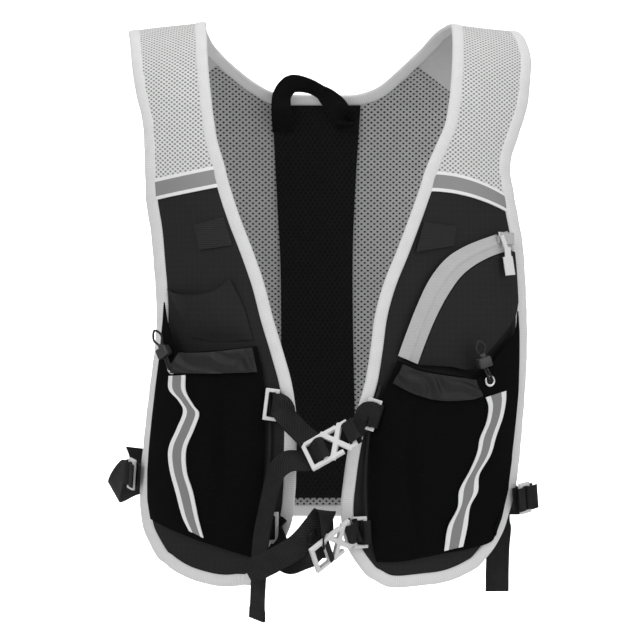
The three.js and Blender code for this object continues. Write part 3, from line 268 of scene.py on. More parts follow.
def smooth_curve(points: Reals, count: int, closed: bool = False) -> Reals:
    """Evenly spaced points on a smooth curve through given ones.

    Args:
        points: The points that the curve passes.
        count: How many points to return.
        closed: Whether the curve returns to its start.

    Returns:
        The evenly spaced points.
    """
    points = np.asarray(points, float)
    if closed:
        padded = np.vstack([points[-1], points, points[0], points[1]])
        spans = len(points)
    else:
        padded = np.vstack([2 * points[0] - points[1], points, 2 * points[-1] - points[-2]])
        spans = len(points) - 1
    fine = 24
    t = np.linspace(0, 1, fine, endpoint=False)[:, None]
    parts = []
    for i in range(spans):
        a, b, c, d = padded[i:i + 4]
        parts.append(span(t, b, c, (c - a) / 2, (d - b) / 2))
    parts.append(padded[spans + 1][None, :])
    dense = np.vstack(parts)
    lengths = np.concatenate([[0], np.cumsum(np.linalg.norm(np.diff(dense, axis=0), axis=1))])
    wanted = np.linspace(0, lengths[-1], count)
    return np.stack([np.interp(wanted, lengths, dense[:, k]) for k in range(dense.shape[1])], axis=1)


def straight(start: Reals, end: Reals, count: int, crown: float = 0.0) -> Reals:
    """Evenly spaced points on a straight line over the cloth, that may be crowned upward."""
    t = np.linspace(0, 1, count)[:, None]
    line = start * (1 - t) + end * t
    line[:, 1] -= 4 * crown * (t * (1 - t))[:, 0]
    return line


class Half(Enum):
    """The two halves of the vest, as the wearer has them."""

    RIGHT = "right"
    LEFT = "left"

    @property
    def side(self) -> int:
        """The sign of this half's across distances."""
        return -1 if self is Half.RIGHT else 1


@dataclass(frozen=True)
class Outline:
    """The edge of the vest as one loop of stretches, in shares across and down."""

    # name, side, number of steps and the rows of across and down
    stretches: tuple = (
        ("rightCentreFront", -1, 12, (
            (0.32, 0.99), (0.145, 0.9), (0.115, 0.77), (0.125, 0.7), (0.17, 0.64),
            (0.226, 0.58), (0.294, 0.5), (0.37, 0.44), (0.446, 0.368))),
        ("rightCentreStrip", -1, 1, (
            (0.446, 0.368), (0.472, 0.335))),
        ("rightCentreYoke", -1, 12, (
            (0.472, 0.335), (0.512, 0.289), (0.553, 0.193), (0.577, 0.094), (0.59, 0),
            (0.59, -0.068), (0.543, -0.106), (0.506, -0.125))),
        ("neck", 1, 10, (
            (-0.506, -0.125), (-0.4, -0.166), (-0.324, -0.185), (-0.25, -0.199), (-0.17, -0.203),
            (0.065, -0.204), (0.15, -0.204), (0.25, -0.199), (0.31, -0.189), (0.376, -0.168),
            (0.424, -0.152), (0.476, -0.13))),
        ("leftCentreYoke", 1, 12, (
            (0.476, -0.13), (0.507, -0.118), (0.578, -0.078), (0.665, 0), (0.675, 0.089),
            (0.656, 0.196), (0.624, 0.264), (0.579, 0.3), (0.52, 0.344))),
        ("leftCentreStrip", 1, 1, (
            (0.52, 0.344), (0.488, 0.376))),
        ("leftCentreFront", 1, 12, (
            (0.488, 0.376), (0.464, 0.398), (0.387, 0.463), (0.31, 0.524), (0.265, 0.578),
            (0.241, 0.64), (0.226, 0.668), (0.179, 0.722), (0.136, 0.781), (0.108, 0.849),
            (0.104, 0.894), (0.138, 0.936), (0.218, 0.973))),
        ("leftHem", 1, 10, (
            (0.218, 0.973), (0.306, 0.992), (0.376, 0.997), (0.511, 0.994), (0.622, 0.99),
            (0.734, 0.977), (0.805, 0.962))),
        ("leftOuterFront", 1, 12, (
            (0.805, 0.962), (0.867, 0.943), (0.944, 0.883), (0.975, 0.846), (1.005, 0.765),
            (1.034, 0.62), (1.018, 0.478), (0.987, 0.412))),
        ("leftOuterStrip", 1, 1, (
            (0.987, 0.412), (0.97, 0.383))),
        ("leftOuterYoke", 1, 12, (
            (0.97, 0.383), (0.951, 0.333), (0.964, 0.309), (1.041, 0.237), (1.076, 0.138),
            (1.061, 0.083), (1.02, 0), (1, -0.08), (0.965, -0.163), (0.915, -0.253))),
        ("leftBackSide", 1, 12, (
            (0.915, -0.253), (0.88, -0.306), (0.82, -0.388), (0.785, -0.47), (0.79, -0.57),
            (0.8, -0.67), (0.79, -0.82), (0.75, -0.91), (0.66, -0.972))),
        ("backHem", 1, 20, (
            (0.66, -0.972), (0.53, -0.994), (0, -1), (-0.53, -0.994), (-0.66, -0.972))),
        ("rightBackSide", -1, 12, (
            (0.66, -0.972), (0.75, -0.91), (0.79, -0.82), (0.8, -0.67), (0.79, -0.57),
            (0.776, -0.47), (0.81, -0.388), (0.87, -0.306), (0.9, -0.253))),
        ("rightOuterYoke", -1, 12, (
            (0.9, -0.253), (0.94, -0.163), (0.976, -0.08), (0.996, 0), (0.985, 0.06),
            (0.961, 0.133), (0.941, 0.187), (0.906, 0.239), (0.882, 0.274),
            (0.871, 0.357))),
        ("rightOuterStrip", -1, 1, (
            (0.871, 0.357), (0.867, 0.391))),
        ("rightOuterFront", -1, 12, (
            (0.867, 0.391), (0.841, 0.444), (0.813, 0.583), (0.858, 0.707),
            (0.895, 0.809), (0.905, 0.859), (0.897, 0.896), (0.872, 0.926),
            (0.815, 0.955))),
        ("rightHem", -1, 10, (
            (0.815, 0.955), (0.729, 0.975), (0.624, 0.989), (0.474, 0.997), (0.32, 0.99))),
    )

    def loop(self, inset: float = 0.0) -> Reals:
        """The loop's corner points, moved inward by a distance with mitred corners."""
        lines = [shares_line(rows, side, steps + 1)[:-1] for _, side, steps, rows in self.stretches]
        points = np.vstack(lines)
        if not inset:
            return points
        tangent = unit(np.roll(points, -1, axis=0) - points)
        after = np.stack([tangent[:, 1], -tangent[:, 0]], axis=1)
        before = np.roll(after, 1, axis=0)
        middle = unit(before + after)
        stretch = np.maximum((middle * before).sum(axis=1, keepdims=True), 0.5)
        return points + middle * inset / stretch

    def along(self, name: str, inset: float = 0.0) -> Reals:
        """The loop's points along one named stretch, both ends included."""
        start = 0
        points = self.loop(inset)
        for stretch, _, steps, _ in self.stretches:
            if stretch == name:
                return np.array([points[(start + i) % len(points)] for i in range(steps + 1)])
            start += steps
        raise KeyError(name)

    def edge_line(self, name: str, inset: float, start: float, end: float, count: int) -> Reals:
        """Even steps along an edge between two shares down the cloth."""
        points = self.along(name, inset)
        if points[0, 1] > points[-1, 1]:
            points = points[::-1]
        runs = np.linspace(BODY.run(start), BODY.run(end), count)
        return np.stack([np.interp(runs, points[:, 1], points[:, 0]), runs], axis=1)


def shares_line(rows: Table, side: int, count: int) -> Reals:
    """Evenly spaced places on a smooth line through rows of across and down shares."""
    points = [(side * across * BODY.half_width, BODY.run(down)) for across, down in rows]
    return smooth_curve(np.array(points), count)


OUTLINE = Outline()


# Cloth

@dataclass
class Net:
    """Four border lines that a piece of cloth is stretched between, as places on the body."""

    bottom: Reals
    top: Reals
    left: Reals
    right: Reals

    def place(self, u: Reals, v: Reals) -> Reals:
        """Places inside the borders for shares across and up."""
        def read(line: Reals, t: Reals) -> Reals:
            """A border's places at shares of its points."""
            at = t * (len(line) - 1)
            index = np.arange(len(line))
            return np.stack([np.interp(at, index, line[:, 0]), np.interp(at, index, line[:, 1])], axis=1)

        w, h = u[:, None], v[:, None]
        corners = (self.bottom[0] * (1 - w) * (1 - h) + self.bottom[-1] * w * (1 - h)
                + self.top[0] * (1 - w) * h + self.top[-1] * w * h)
        return (read(self.bottom, u) * (1 - h) + read(self.top, u) * h
                + read(self.left, v) * (1 - w) + read(self.right, v) * w - corners)


def set_points(obj: Piece, points: Reals) -> None:
    """Moves a mesh's vertices to given places."""
    obj.data.vertices.foreach_set("co", np.asarray(points, float).ravel())
    obj.data.update()


def get_points(obj: Piece) -> Reals:
    """A mesh's vertex places."""
    points = np.empty(len(obj.data.vertices) * 3)
    obj.data.vertices.foreach_get("co", points)
    return points.reshape(-1, 3)


def write_uv(obj: Piece, name: str, values: Reals) -> None:
    """Writes one pair of numbers a vertex into a UV map."""
    layer = obj.data.uv_layers.get(name) or obj.data.uv_layers.new(name=name)
    loops = np.empty(len(obj.data.loops), dtype=int)
    obj.data.loops.foreach_get("vertex_index", loops)
    layer.data.foreach_set("uv", values[loops].ravel())


def flat_grid(name: str, columns: int, rows: int) -> tuple[Piece, Reals, Reals]:
    """Adds a grid to shape into cloth.

    Args:
        name: The piece's name.
        columns: Faces across.
        rows: Faces along.

    Returns:
        The grid and each vertex's shares across and along.
    """
    deselect_all()
    bpy.ops.mesh.primitive_grid_add(x_subdivisions=columns, y_subdivisions=rows, size=1, calc_uvs=True)
    grid = bpy.context.object
    grid.name = name
    grid.data.name = name
    grid.data.uv_layers[0].name = "cloth_size"
    points = get_points(grid)
    return grid, np.clip(points[:, 0] + 0.5, 0, 1), np.clip(points[:, 1] + 0.5, 0, 1)


def face_outward(obj: Piece, outward: Reals) -> None:
    """Turns a sheet's faces over where they look into the body."""
    normals = np.empty(len(obj.data.vertices) * 3)
    obj.data.vertices.foreach_get("normal", normals)
    if (normals.reshape(-1, 3) * outward).sum() > 0:
        return
    select_only(obj)
    bpy.ops.object.mode_set(mode="EDIT")
    bpy.ops.mesh.select_all(action="SELECT")
    bpy.ops.mesh.flip_normals()
    bpy.ops.object.mode_set(mode="OBJECT")


def cloth(name: str, net: Net, columns: int, rows: int, height: HeightRule | float, wall: float) -> Piece:
    """Makes a piece of cloth inside four border lines.

    Args:
        name: The piece's name.
        net: Its border lines.
        columns: Faces across.
        rows: Faces along.
        height: The outer face's height above the body, or a rule from across, run, u and v.
        wall: The cloth's thickness.

    Returns:
        The piece, with its sizes in metres in one UV map and its shares in another.
    """
    grid, u, v = flat_grid(name, columns, rows)
    place = net.place(u, v)
    across, run = place[:, 0], place[:, 1]
    level = height(across, run, u, v) if callable(height) else np.full(across.shape, height)
    set_points(grid, BODY.above(across, run, level))
    write_uv(grid, "cloth_size", np.stack([BODY.girth(across, run), -run], axis=1))
    write_uv(grid, "cloth_share", np.stack([u, v], axis=1))
    face_outward(grid, BODY.normal(across, run))
    apply_modifier(grid, "SOLIDIFY", thickness=wall, offset=-1)
    smooth_shading(grid)
    return grid


def crumple(across: Reals, run: Reals, size: float, amount: float, stretch: float = 1.0,
        seed: float = 0.0) -> Reals:
    """Soft irregular heights over cloth.

    Args:
        across: Distances across.
        run: Distances along.
        size: The size of a bump.
        amount: The greatest height.
        stretch: How much longer bumps are along than across.
        seed: Shifts the pattern.

    Returns:
        A height for each place.
    """
    heights = [noise.noise(Vector((x / size, y / size / stretch, seed))) for x, y in zip(across, run)]
    return amount * np.array(heights)


def inside_rim(u: Reals, v: Reals, reach: float) -> Reals:
    """Nought on a cloth's borders, and one farther inside than a share."""
    return np.minimum(np.minimum(u, 1 - u), np.minimum(v, 1 - v)).clip(0, reach) / reach


# Materials

def linear(colour: str) -> tuple[float, float, float, float]:
    """An sRGB hex colour as linear values."""
    parts = [int(colour[i:i + 2], 16) / 255 for i in (1, 3, 5)]
    straight_parts = [c / 12.92 if c <= 0.04045 else ((c + 0.055) / 1.055) ** 2.4 for c in parts]
    return (*straight_parts, 1.0)


def add_node(tree: bpy.types.NodeTree, kind: str, settings: dict) -> bpy.types.Node:
    """Adds a node with its settings and links.

    Args:
        tree: The material's nodes.
        kind: The node's type, without its prefix.
        settings: Properties, and by the input's name or number a value, a socket or a node to link.

    Returns:
        The node.
    """
    made = tree.nodes.new(f"ShaderNode{kind}")
    for name, value in settings.items():
        if isinstance(value, bpy.types.Node):
            value = value.outputs[0]
        if isinstance(value, bpy.types.NodeSocket):
            tree.links.new(value, made.inputs[name])
        elif isinstance(name, int) or name in made.inputs:
            made.inputs[name].default_value = value
        else:
            setattr(made, name, value)
    return made


@dataclass(frozen=True)
class Finish:
    """A surface: what the real one is made of and how it was made."""

    name: str
    colour: str
    roughness: float = 0.8
    specular: float = 0.5
    metallic: float = 0.0
    bump: float = 0.3
    bump_distance: float = 0.0004

    def pattern(self, tree: bpy.types.NodeTree) -> Pattern:
        """The shader inputs that a pattern drives, and the pattern's height."""
        raise NotImplementedError

    def build(self) -> bpy.types.Material:
        """Makes the material."""
        material = bpy.data.materials.new(self.name)
        material.use_nodes = True
        tree = material.node_tree
        tree.nodes.clear()
        driven, height = self.pattern(tree)
        bump = add_node(tree, "Bump", {
            "Strength": self.bump, "Distance": self.bump_distance, "Height": height})
        shader = add_node(tree, "BsdfPrincipled", {
            "Base Color": linear(self.colour), "Roughness": self.roughness, "Metallic": self.metallic,
            "Specular IOR Level": self.specular, "Normal": bump, **driven})
        add_node(tree, "OutputMaterial", {"Surface": shader})
        return material

    def cloth_scale(self, tree: bpy.types.NodeTree, pitch_across: float, pitch_along: float,
            turn: float = 0.0) -> bpy.types.Node:
        """The cloth's own sizes, counted in threads or holes."""
        return add_node(tree, "Mapping", {
            "Scale": (1 / pitch_across, 1 / pitch_along, 1), "Rotation": (0, 0, turn),
            0: add_node(tree, "UVMap", {"uv_map": "cloth_size"})})

    def spots(self, tree: bpy.types.NodeTree, scale: float, detail: float,
            roughness: float = 0.5) -> bpy.types.Node:
        """Soft variation over the piece, at a real size."""
        place = add_node(tree, "TexCoord", {}).outputs["Object"]
        return add_node(tree, "TexNoise", {
            "Scale": scale, "Detail": detail, "Roughness": roughness, "Vector": place})

    def mottle(self, tree: bpy.types.NodeTree, size: float) -> bpy.types.Node:
        """Soft uneven colour, in patches of a size."""
        return self.spots(tree, 1 / size, 4.0, 0.6)


@dataclass(frozen=True)
class Ripstop(Finish):
    """Thin nylon ripstop: a plain weave with thicker threads in a fine grid."""

    grid_pitch: float = 0.0052
    grid_colour: str = "#3a3a3a"
    thread_share: float = 0.075

    def pattern(self, tree: bpy.types.NodeTree) -> Pattern:
        """Crossed lines on mottled cloth."""
        thread = linear(self.grid_colour)
        cells = add_node(tree, "SeparateXYZ", {0: self.cloth_scale(tree, self.grid_pitch, self.grid_pitch)})
        lines = []
        for axis in (0, 1):
            wave = add_node(tree, "Math", {"operation": "PINGPONG", 0: cells.outputs[axis], 1: 0.5})
            lines.append(add_node(tree, "Math", {"operation": "LESS_THAN", 0: wave, 1: self.thread_share}))
        grid = add_node(tree, "Math", {"operation": "MAXIMUM", 0: lines[0], 1: lines[1]})
        tint = add_node(tree, "Math", {"operation": "MULTIPLY", 0: self.mottle(tree, 0.03), 1: 0.55})
        ground = add_node(tree, "Mix", {"data_type": "RGBA", 0: tint, 6: linear(self.colour), 7: thread})
        soft = add_node(tree, "Math", {"operation": "MULTIPLY", 0: grid, 1: 0.65})
        shown = add_node(tree, "Mix", {"data_type": "RGBA", 0: soft, 6: ground.outputs[2], 7: thread})
        return {"Base Color": shown.outputs[2]}, grid


@dataclass(frozen=True)
class HoledMesh(Finish):
    """Warp-knitted spacer mesh: staggered oval holes between soft ribs, their depths darkened with painted
    shade.
    """

    # painted shade: the darker colour that fills the holes' depths
    hole_shade_colour: str = "#8a8a8a"
    pitch_across: float = 0.004
    pitch_along: float = 0.0033
    hole_share: float = 0.3

    def pattern(self, tree: bpy.types.NodeTree) -> Pattern:
        """Holes darkened with painted shade, in mottled knit."""
        hole_shade = linear(self.hole_shade_colour)
        turned = add_node(tree, "Mapping", {
            "Rotation": (0, 0, math.radians(45)),
            0: self.cloth_scale(tree, self.pitch_across, self.pitch_along)})
        cells = add_node(tree, "TexVoronoi", {
            "voronoi_dimensions": "2D", "Randomness": 0.0, "Scale": 1.0, "Vector": turned})
        ramp = add_node(tree, "MapRange", {
            "interpolation_type": "SMOOTHSTEP", "From Min": self.hole_share - 0.07,
            "From Max": self.hole_share + 0.12, "Value": cells.outputs["Distance"]})
        mottle = add_node(tree, "Math", {"operation": "MULTIPLY", 0: self.mottle(tree, 0.012), 1: 0.25})
        knit = add_node(tree, "Mix", {"data_type": "RGBA", 0: mottle, 6: linear(self.colour), 7: hole_shade})
        # Painted shade: the holes take the darker shade colour.
        shown = add_node(tree, "Mix", {"data_type": "RGBA", 0: ramp, 6: hole_shade, 7: knit.outputs[2]})
        return {"Base Color": shown.outputs[2]}, ramp


@dataclass(frozen=True)
class Woven(Finish):
    """Narrow woven goods: ribs or a twill that show as fine lines."""

    rib_pitch: float = 0.0016
    rib_turn: float = 0.0
    rib_colour: str = "#3a3a3a"
    contrast: float = 0.6

    def pattern(self, tree: bpy.types.NodeTree) -> Pattern:
        """Bands of two colours with some mottling."""
        period = self.rib_pitch * 3.14
        wave = add_node(tree, "TexWave", {
            "wave_type": "BANDS", "bands_direction": "Y", "Scale": 1.0, "Distortion": 0.6, "Detail": 2.0,
            "Detail Scale": 1.5, "Vector": self.cloth_scale(tree, period, period, self.rib_turn)})
        wave = wave.outputs["Fac"]
        ribs = add_node(tree, "Math", {"operation": "MULTIPLY", 0: wave, 1: self.contrast})
        centred = add_node(tree, "Math", {"operation": "SUBTRACT", 0: self.mottle(tree, 0.01), 1: 0.5})
        uneven = add_node(tree, "Math", {"operation": "MULTIPLY", 0: centred, 1: 0.6})
        share = add_node(tree, "Math", {"operation": "ADD", 0: ribs, 1: uneven})
        shown = add_node(tree, "Mix", {
            "data_type": "RGBA", 0: add_node(tree, "Clamp", {0: share}), 6: linear(self.colour),
            7: linear(self.rib_colour)})
        return {"Base Color": shown.outputs[2]}, wave


@dataclass(frozen=True)
class Moulded(Finish):
    """Moulded nylon or ABS, or polished metal, with faint unevenness."""

    def pattern(self, tree: bpy.types.NodeTree) -> Pattern:
        """Uneven polish."""
        spots = self.spots(tree, 900.0, 3.0)
        rough = add_node(tree, "MapRange", {
            "To Min": self.roughness - 0.06, "To Max": self.roughness + 0.08, "Value": spots})
        return {"Roughness": rough}, spots


@dataclass(frozen=True)
class BandedTape(Finish):
    """Reflective tape with pale borders where its share along passes given limits."""

    border_colour: str = "#e6e6e6"
    across_strip: int = 1
    lower_border: float = 0.12
    upper_border: float = 0.88
    grain: float = 0.0012

    def pattern(self, tree: bpy.types.NodeTree) -> Pattern:
        """Two borders beside the tape's own colour."""
        share = add_node(tree, "SeparateXYZ", {0: add_node(tree, "UVMap", {"uv_map": "cloth_share"})})
        place = share.outputs[self.across_strip]
        low = add_node(tree, "Math", {"operation": "LESS_THAN", 0: place, 1: self.lower_border})
        high = add_node(tree, "Math", {"operation": "GREATER_THAN", 0: place, 1: self.upper_border})
        border = add_node(tree, "Math", {"operation": "MAXIMUM", 0: low, 1: high})
        grain = add_node(tree, "TexNoise", {
            "Scale": 1.0, "Detail": 3.0, "Vector": self.cloth_scale(tree, self.grain, self.grain)})
        shown = add_node(tree, "Mix", {
            "data_type": "RGBA", 0: border, 6: linear(self.colour), 7: linear(self.border_colour)})
        return {"Base Color": shown.outputs[2]}, grain


class Finishes:
    """The vest's finishes, each made once."""

    def __init__(self) -> None:
        """Makes every material."""
        self.ripstop = Ripstop("nylon_ripstop", "#161616", roughness=0.68, specular=0.25, bump=0.2,
                grid_colour="#1f1f1f").build()
        self.sleeve_cloth = Ripstop("nylon_sleeve_cloth", "#1b1b1b", roughness=0.6, specular=0.3,
                grid_colour="#272727").build()
        # The hole colours of the four meshes below are painted shade in the holes' depths.
        self.stretch_mesh = HoledMesh("stretch_mesh", "#0f0f0f",
            roughness=0.85, specular=0.05, hole_shade_colour="#050505",
                pitch_across=0.0021, pitch_along=0.0021, bump=0.35).build()
        self.shoulder_mesh = HoledMesh("shoulder_spacer_mesh", "#e4e4e4", roughness=0.9, specular=0.2,
                hole_shade_colour="#868686", bump=0.6,
                pitch_across=0.0034, pitch_along=0.0028).build()
        self.back_mesh = HoledMesh("back_spacer_mesh", "#b6b6b6",
            roughness=0.9, specular=0.2, hole_shade_colour="#1c1c1c",
                pitch_across=0.0042, pitch_along=0.0034, hole_share=0.23, bump=0.6).build()
        self.spine_mesh = HoledMesh("spine_mesh", "#131313",
            roughness=0.85, specular=0.2, hole_shade_colour="#030303",
                pitch_across=0.0032, pitch_along=0.0048, bump=0.6).build()
        self.lining = Woven("polyester_lining", "#c0c0c0", roughness=0.8, rib_colour="#b0b0b0",
                rib_pitch=0.0014, bump=0.1).build()
        self.binding = Woven("knitted_binding", "#e0e0e0",
            roughness=0.85, specular=0.15, rib_colour="#cccccc",
                rib_pitch=0.0017, bump=0.2).build()
        self.webbing = Woven("polyester_webbing", "#0e0e0e",
            roughness=0.7, specular=0.15, rib_colour="#303030",
                rib_pitch=0.0015, rib_turn=math.radians(40), bump=0.6, contrast=0.75).build()
        self.handle = Woven("handle_webbing", "#070707", roughness=0.75, specular=0.1, rib_colour="#181818",
                rib_pitch=0.0015, bump=0.5).build()
        self.zip_tape = Woven("zip_tape", "#b9b9b9",
            roughness=0.8, rib_colour="#a6a6a6", rib_pitch=0.0013).build()
        self.reflective = BandedTape("reflective_tape", "#858585", roughness=0.45, specular=0.6, bump=0.1,
                lower_border=0.16, upper_border=0.84).build()
        self.wavy_tape = BandedTape("reflective_transfer", "#7c7c7c", roughness=0.42, specular=0.6, bump=0.1,
                across_strip=0, lower_border=0.24, upper_border=0.76).build()
        self.gathered_cloth = Ripstop("gathered_nylon", "#151515", roughness=0.5, specular=0.3, bump=0.15,
                grid_colour="#1c1c1c").build()
        self.elastic = Woven("ribbed_elastic", "#101010", roughness=0.6, specular=0.3, rib_colour="#262626",
                rib_pitch=0.0016, bump=0.5).build()
        self.cord = Moulded("elastic_cord", "#161616", roughness=0.7, bump=0.2).build()
        self.pale_plastic = Moulded("pale_acetal", "#d6d6d6", roughness=0.38, bump=0.05).build()
        self.dark_plastic = Moulded("dark_acetal", "#2e2e2e", roughness=0.38, bump=0.05).build()
        self.metal = Moulded("nickel_plated_metal", "#d2d2d2",
            roughness=0.24, metallic=1.0, bump=0.03).build()
        self.studio = Moulded("studio_paper", "#f4f4f4", roughness=0.95, bump=0.0).build()


# The two halves of the front with their shoulders

@dataclass
class FrontHalf:
    """One front panel with its reflective strip and shoulder yoke."""

    half: Half
    finishes: Finishes
    panel_wall: float = 0.002
    yoke_wall: float = 0.003
    under_binding: float = 0.005
    strip_crown: float = 0.0054
    panel_area: float = 0.047
    columns: int = 40

    def line(self, stretch: str, up: bool, count: int) -> Reals:
        """One stretch of this half's edge, running up or down."""
        points = OUTLINE.along(f"{self.half.value}{stretch}", self.under_binding)
        line = smooth_curve(points, count)
        rises = line[-1, 1] < line[0, 1]
        return line if rises == up else line[::-1]

    def crown(self) -> float:
        """How far the strip's edges arch upward."""
        return self.strip_crown if self.half is Half.LEFT else 0.0

    def panel(self) -> None:
        """The black ripstop panel."""
        count = 61
        centre, outer = self.line("CentreFront", True, count), self.line("OuterFront", True, count)
        hem = smooth_curve(OUTLINE.along(f"{self.half.value}Hem", self.under_binding), count)
        if np.linalg.norm(hem[0] - centre[0]) > np.linalg.norm(hem[-1] - centre[0]):
            hem = hem[::-1]
        net = Net(hem, straight(centre[-1], outer[-1], count, self.crown()), centre, outer)

        def height(across: Reals, run: Reals, u: Reals, v: Reals) -> Reals:
            """Slight unevenness of the loose cloth."""
            loose = inside_rim(u, v, 0.12)
            return self.panel_wall + loose * crumple(across, run, 0.045, 0.0026, 1.6)

        panel = cloth(f"cloth_front_{self.half.value}", net, self.columns, 90, height, self.panel_wall)
        hand_over(panel, self.finishes.ripstop, "black_cloth", f"front_panel_{self.half.value}")

    def strip(self) -> None:
        """The reflective strip between panel and yoke."""
        centre, outer = self.line("CentreStrip", True, 5), self.line("OuterStrip", True, 5)
        foot, head = [straight(centre[end], outer[end], 30, self.crown()) for end in (0, -1)]
        net = Net(foot, head, centre, outer)

        def height(across: Reals, run: Reals, u: Reals, v: Reals) -> Reals:
            """The strip stands over the seam and sinks under the binding at both ends."""
            return self.yoke_wall + 0.0006 - 0.0014 * (1 - np.minimum(u, 1 - u).clip(0, 0.1) / 0.1)

        strip = cloth(f"reflective_strip_{self.half.value}", net, self.columns, 8, height, self.panel_wall)
        hand_over(strip, self.finishes.reflective, "reflective_cloth", f"shoulder_strip_{self.half.value}")

    def yoke(self) -> None:
        """The mesh shoulder yoke with its smooth lining."""
        count = 81
        centre, outer = self.line("CentreYoke", True, count), self.line("OuterYoke", True, count)
        net = Net(straight(centre[0], outer[0], count, self.crown()), straight(centre[-1], outer[-1], count),
                centre, outer)

        def height(across: Reals, run: Reals, u: Reals, v: Reals) -> Reals:
            """Soft waves of the padded mesh."""
            loose = np.minimum(u, 1 - u).clip(0, 0.15) / 0.15
            return self.yoke_wall + loose * crumple(across, run, 0.06, 0.0012, 1.3, 4.0)

        rows = 110
        yoke = cloth(f"mesh_yoke_{self.half.value}", net, self.columns, rows, height, self.yoke_wall)
        hand_over(yoke, self.finishes.shoulder_mesh, "grey_mesh", f"shoulder_yoke_{self.half.value}")
        yoke.data.materials.append(self.finishes.lining)
        for face in yoke.data.polygons[self.columns * rows:]:
            face.material_index = 1

    def build(self) -> None:
        """Makes the three pieces."""
        self.panel()
        self.strip()
        self.yoke()


@dataclass
class Back:
    """The mesh back panel, the spine panel inside it and the reservoir sleeve outside it."""

    finishes: Finishes
    wall: float = 0.003
    under_binding: float = 0.005
    spine_wall: float = 0.0015
    spine_gap: float = 0.0008
    sleeve_wall: float = 0.002
    sleeve_puff: float = 0.026
    seam_gap: float = 0.0005
    # left and right across, and down, from the foot to the head
    spine_rows: Table = ((-0.215, 0.205, -0.965), (-0.213, 0.19, -0.8), (-0.215, 0.178, -0.55),
            (-0.235, 0.19, -0.4), (-0.26, 0.22, -0.222))
    sleeve_rows: Table = ((-0.56, 0.56, -0.955), (-0.6, 0.6, -0.85), (-0.6, 0.6, -0.6), (-0.57, 0.57, -0.4),
            (-0.46, 0.46, -0.26))

    def row_net(self, rows: Table, count: int) -> Net:
        """Borders that are straight across between rows."""
        left = shares_line(tuple((row[0], row[2]) for row in rows), 1, count)
        right = shares_line(tuple((row[1], row[2]) for row in rows), 1, count)
        return Net(straight(left[0], right[0], count), straight(left[-1], right[-1], count), left, right)

    def panel(self) -> None:
        """The holed mesh back panel."""
        count = 81
        right_side = smooth_curve(OUTLINE.along("rightBackSide", self.under_binding), count)
        left_side = smooth_curve(OUTLINE.along("leftBackSide", self.under_binding), count)[::-1]
        neck = OUTLINE.along("neck", self.under_binding)
        top = smooth_curve(np.vstack([straight(right_side[-1], neck[0], 6)[:-1], neck,
                straight(neck[-1], left_side[-1], 6)[1:]]), count)
        hem = smooth_curve(OUTLINE.along("backHem", self.under_binding), count)[::-1]
        net = Net(hem, top, right_side, left_side)

        def height(across: Reals, run: Reals, u: Reals, v: Reals) -> Reals:
            """Soft waves of the mesh."""
            loose = inside_rim(u, v, 0.1)
            return self.wall + loose * crumple(across, run, 0.07, 0.001, 1.5, 8.0)

        panel = cloth("mesh_back", net, 90, 120, height, self.wall)
        hand_over(panel, self.finishes.back_mesh, "grey_mesh", "back_panel")

    def spine(self) -> None:
        """The black mesh panel inside the back."""
        spine = cloth(
            "mesh_spine", self.row_net(self.spine_rows, 60), 24, 110, -self.spine_gap, self.spine_wall)
        hand_over(spine, self.finishes.spine_mesh, "black_mesh", "spine_panel")

    def sleeve(self) -> None:
        """The reservoir sleeve, seamed round three sides and open at its top."""
        def height(across: Reals, run: Reals, u: Reals, v: Reals) -> Reals:
            """How far the sleeve stands off the back panel."""
            sides = 1 - np.abs(2 * u - 1) ** 2.6
            foot = 1 - (1 - v) ** 4
            folds = crumple(across, run, 0.06, 0.003, 2.0, 12.0) * sides * foot
            stand = self.sleeve_puff * sides * foot * (1 - 0.45 * v ** 2)
            return self.wall + self.seam_gap + self.sleeve_wall + stand + folds

        sleeve = cloth(
            "sleeve_reservoir", self.row_net(self.sleeve_rows, 60), 70, 100, height, self.sleeve_wall)
        hand_over(sleeve, self.finishes.sleeve_cloth, "black_cloth", "reservoir_sleeve")

    def build(self) -> None:
        """Makes the three pieces."""
        self.panel()
        self.spine()
        self.sleeve()


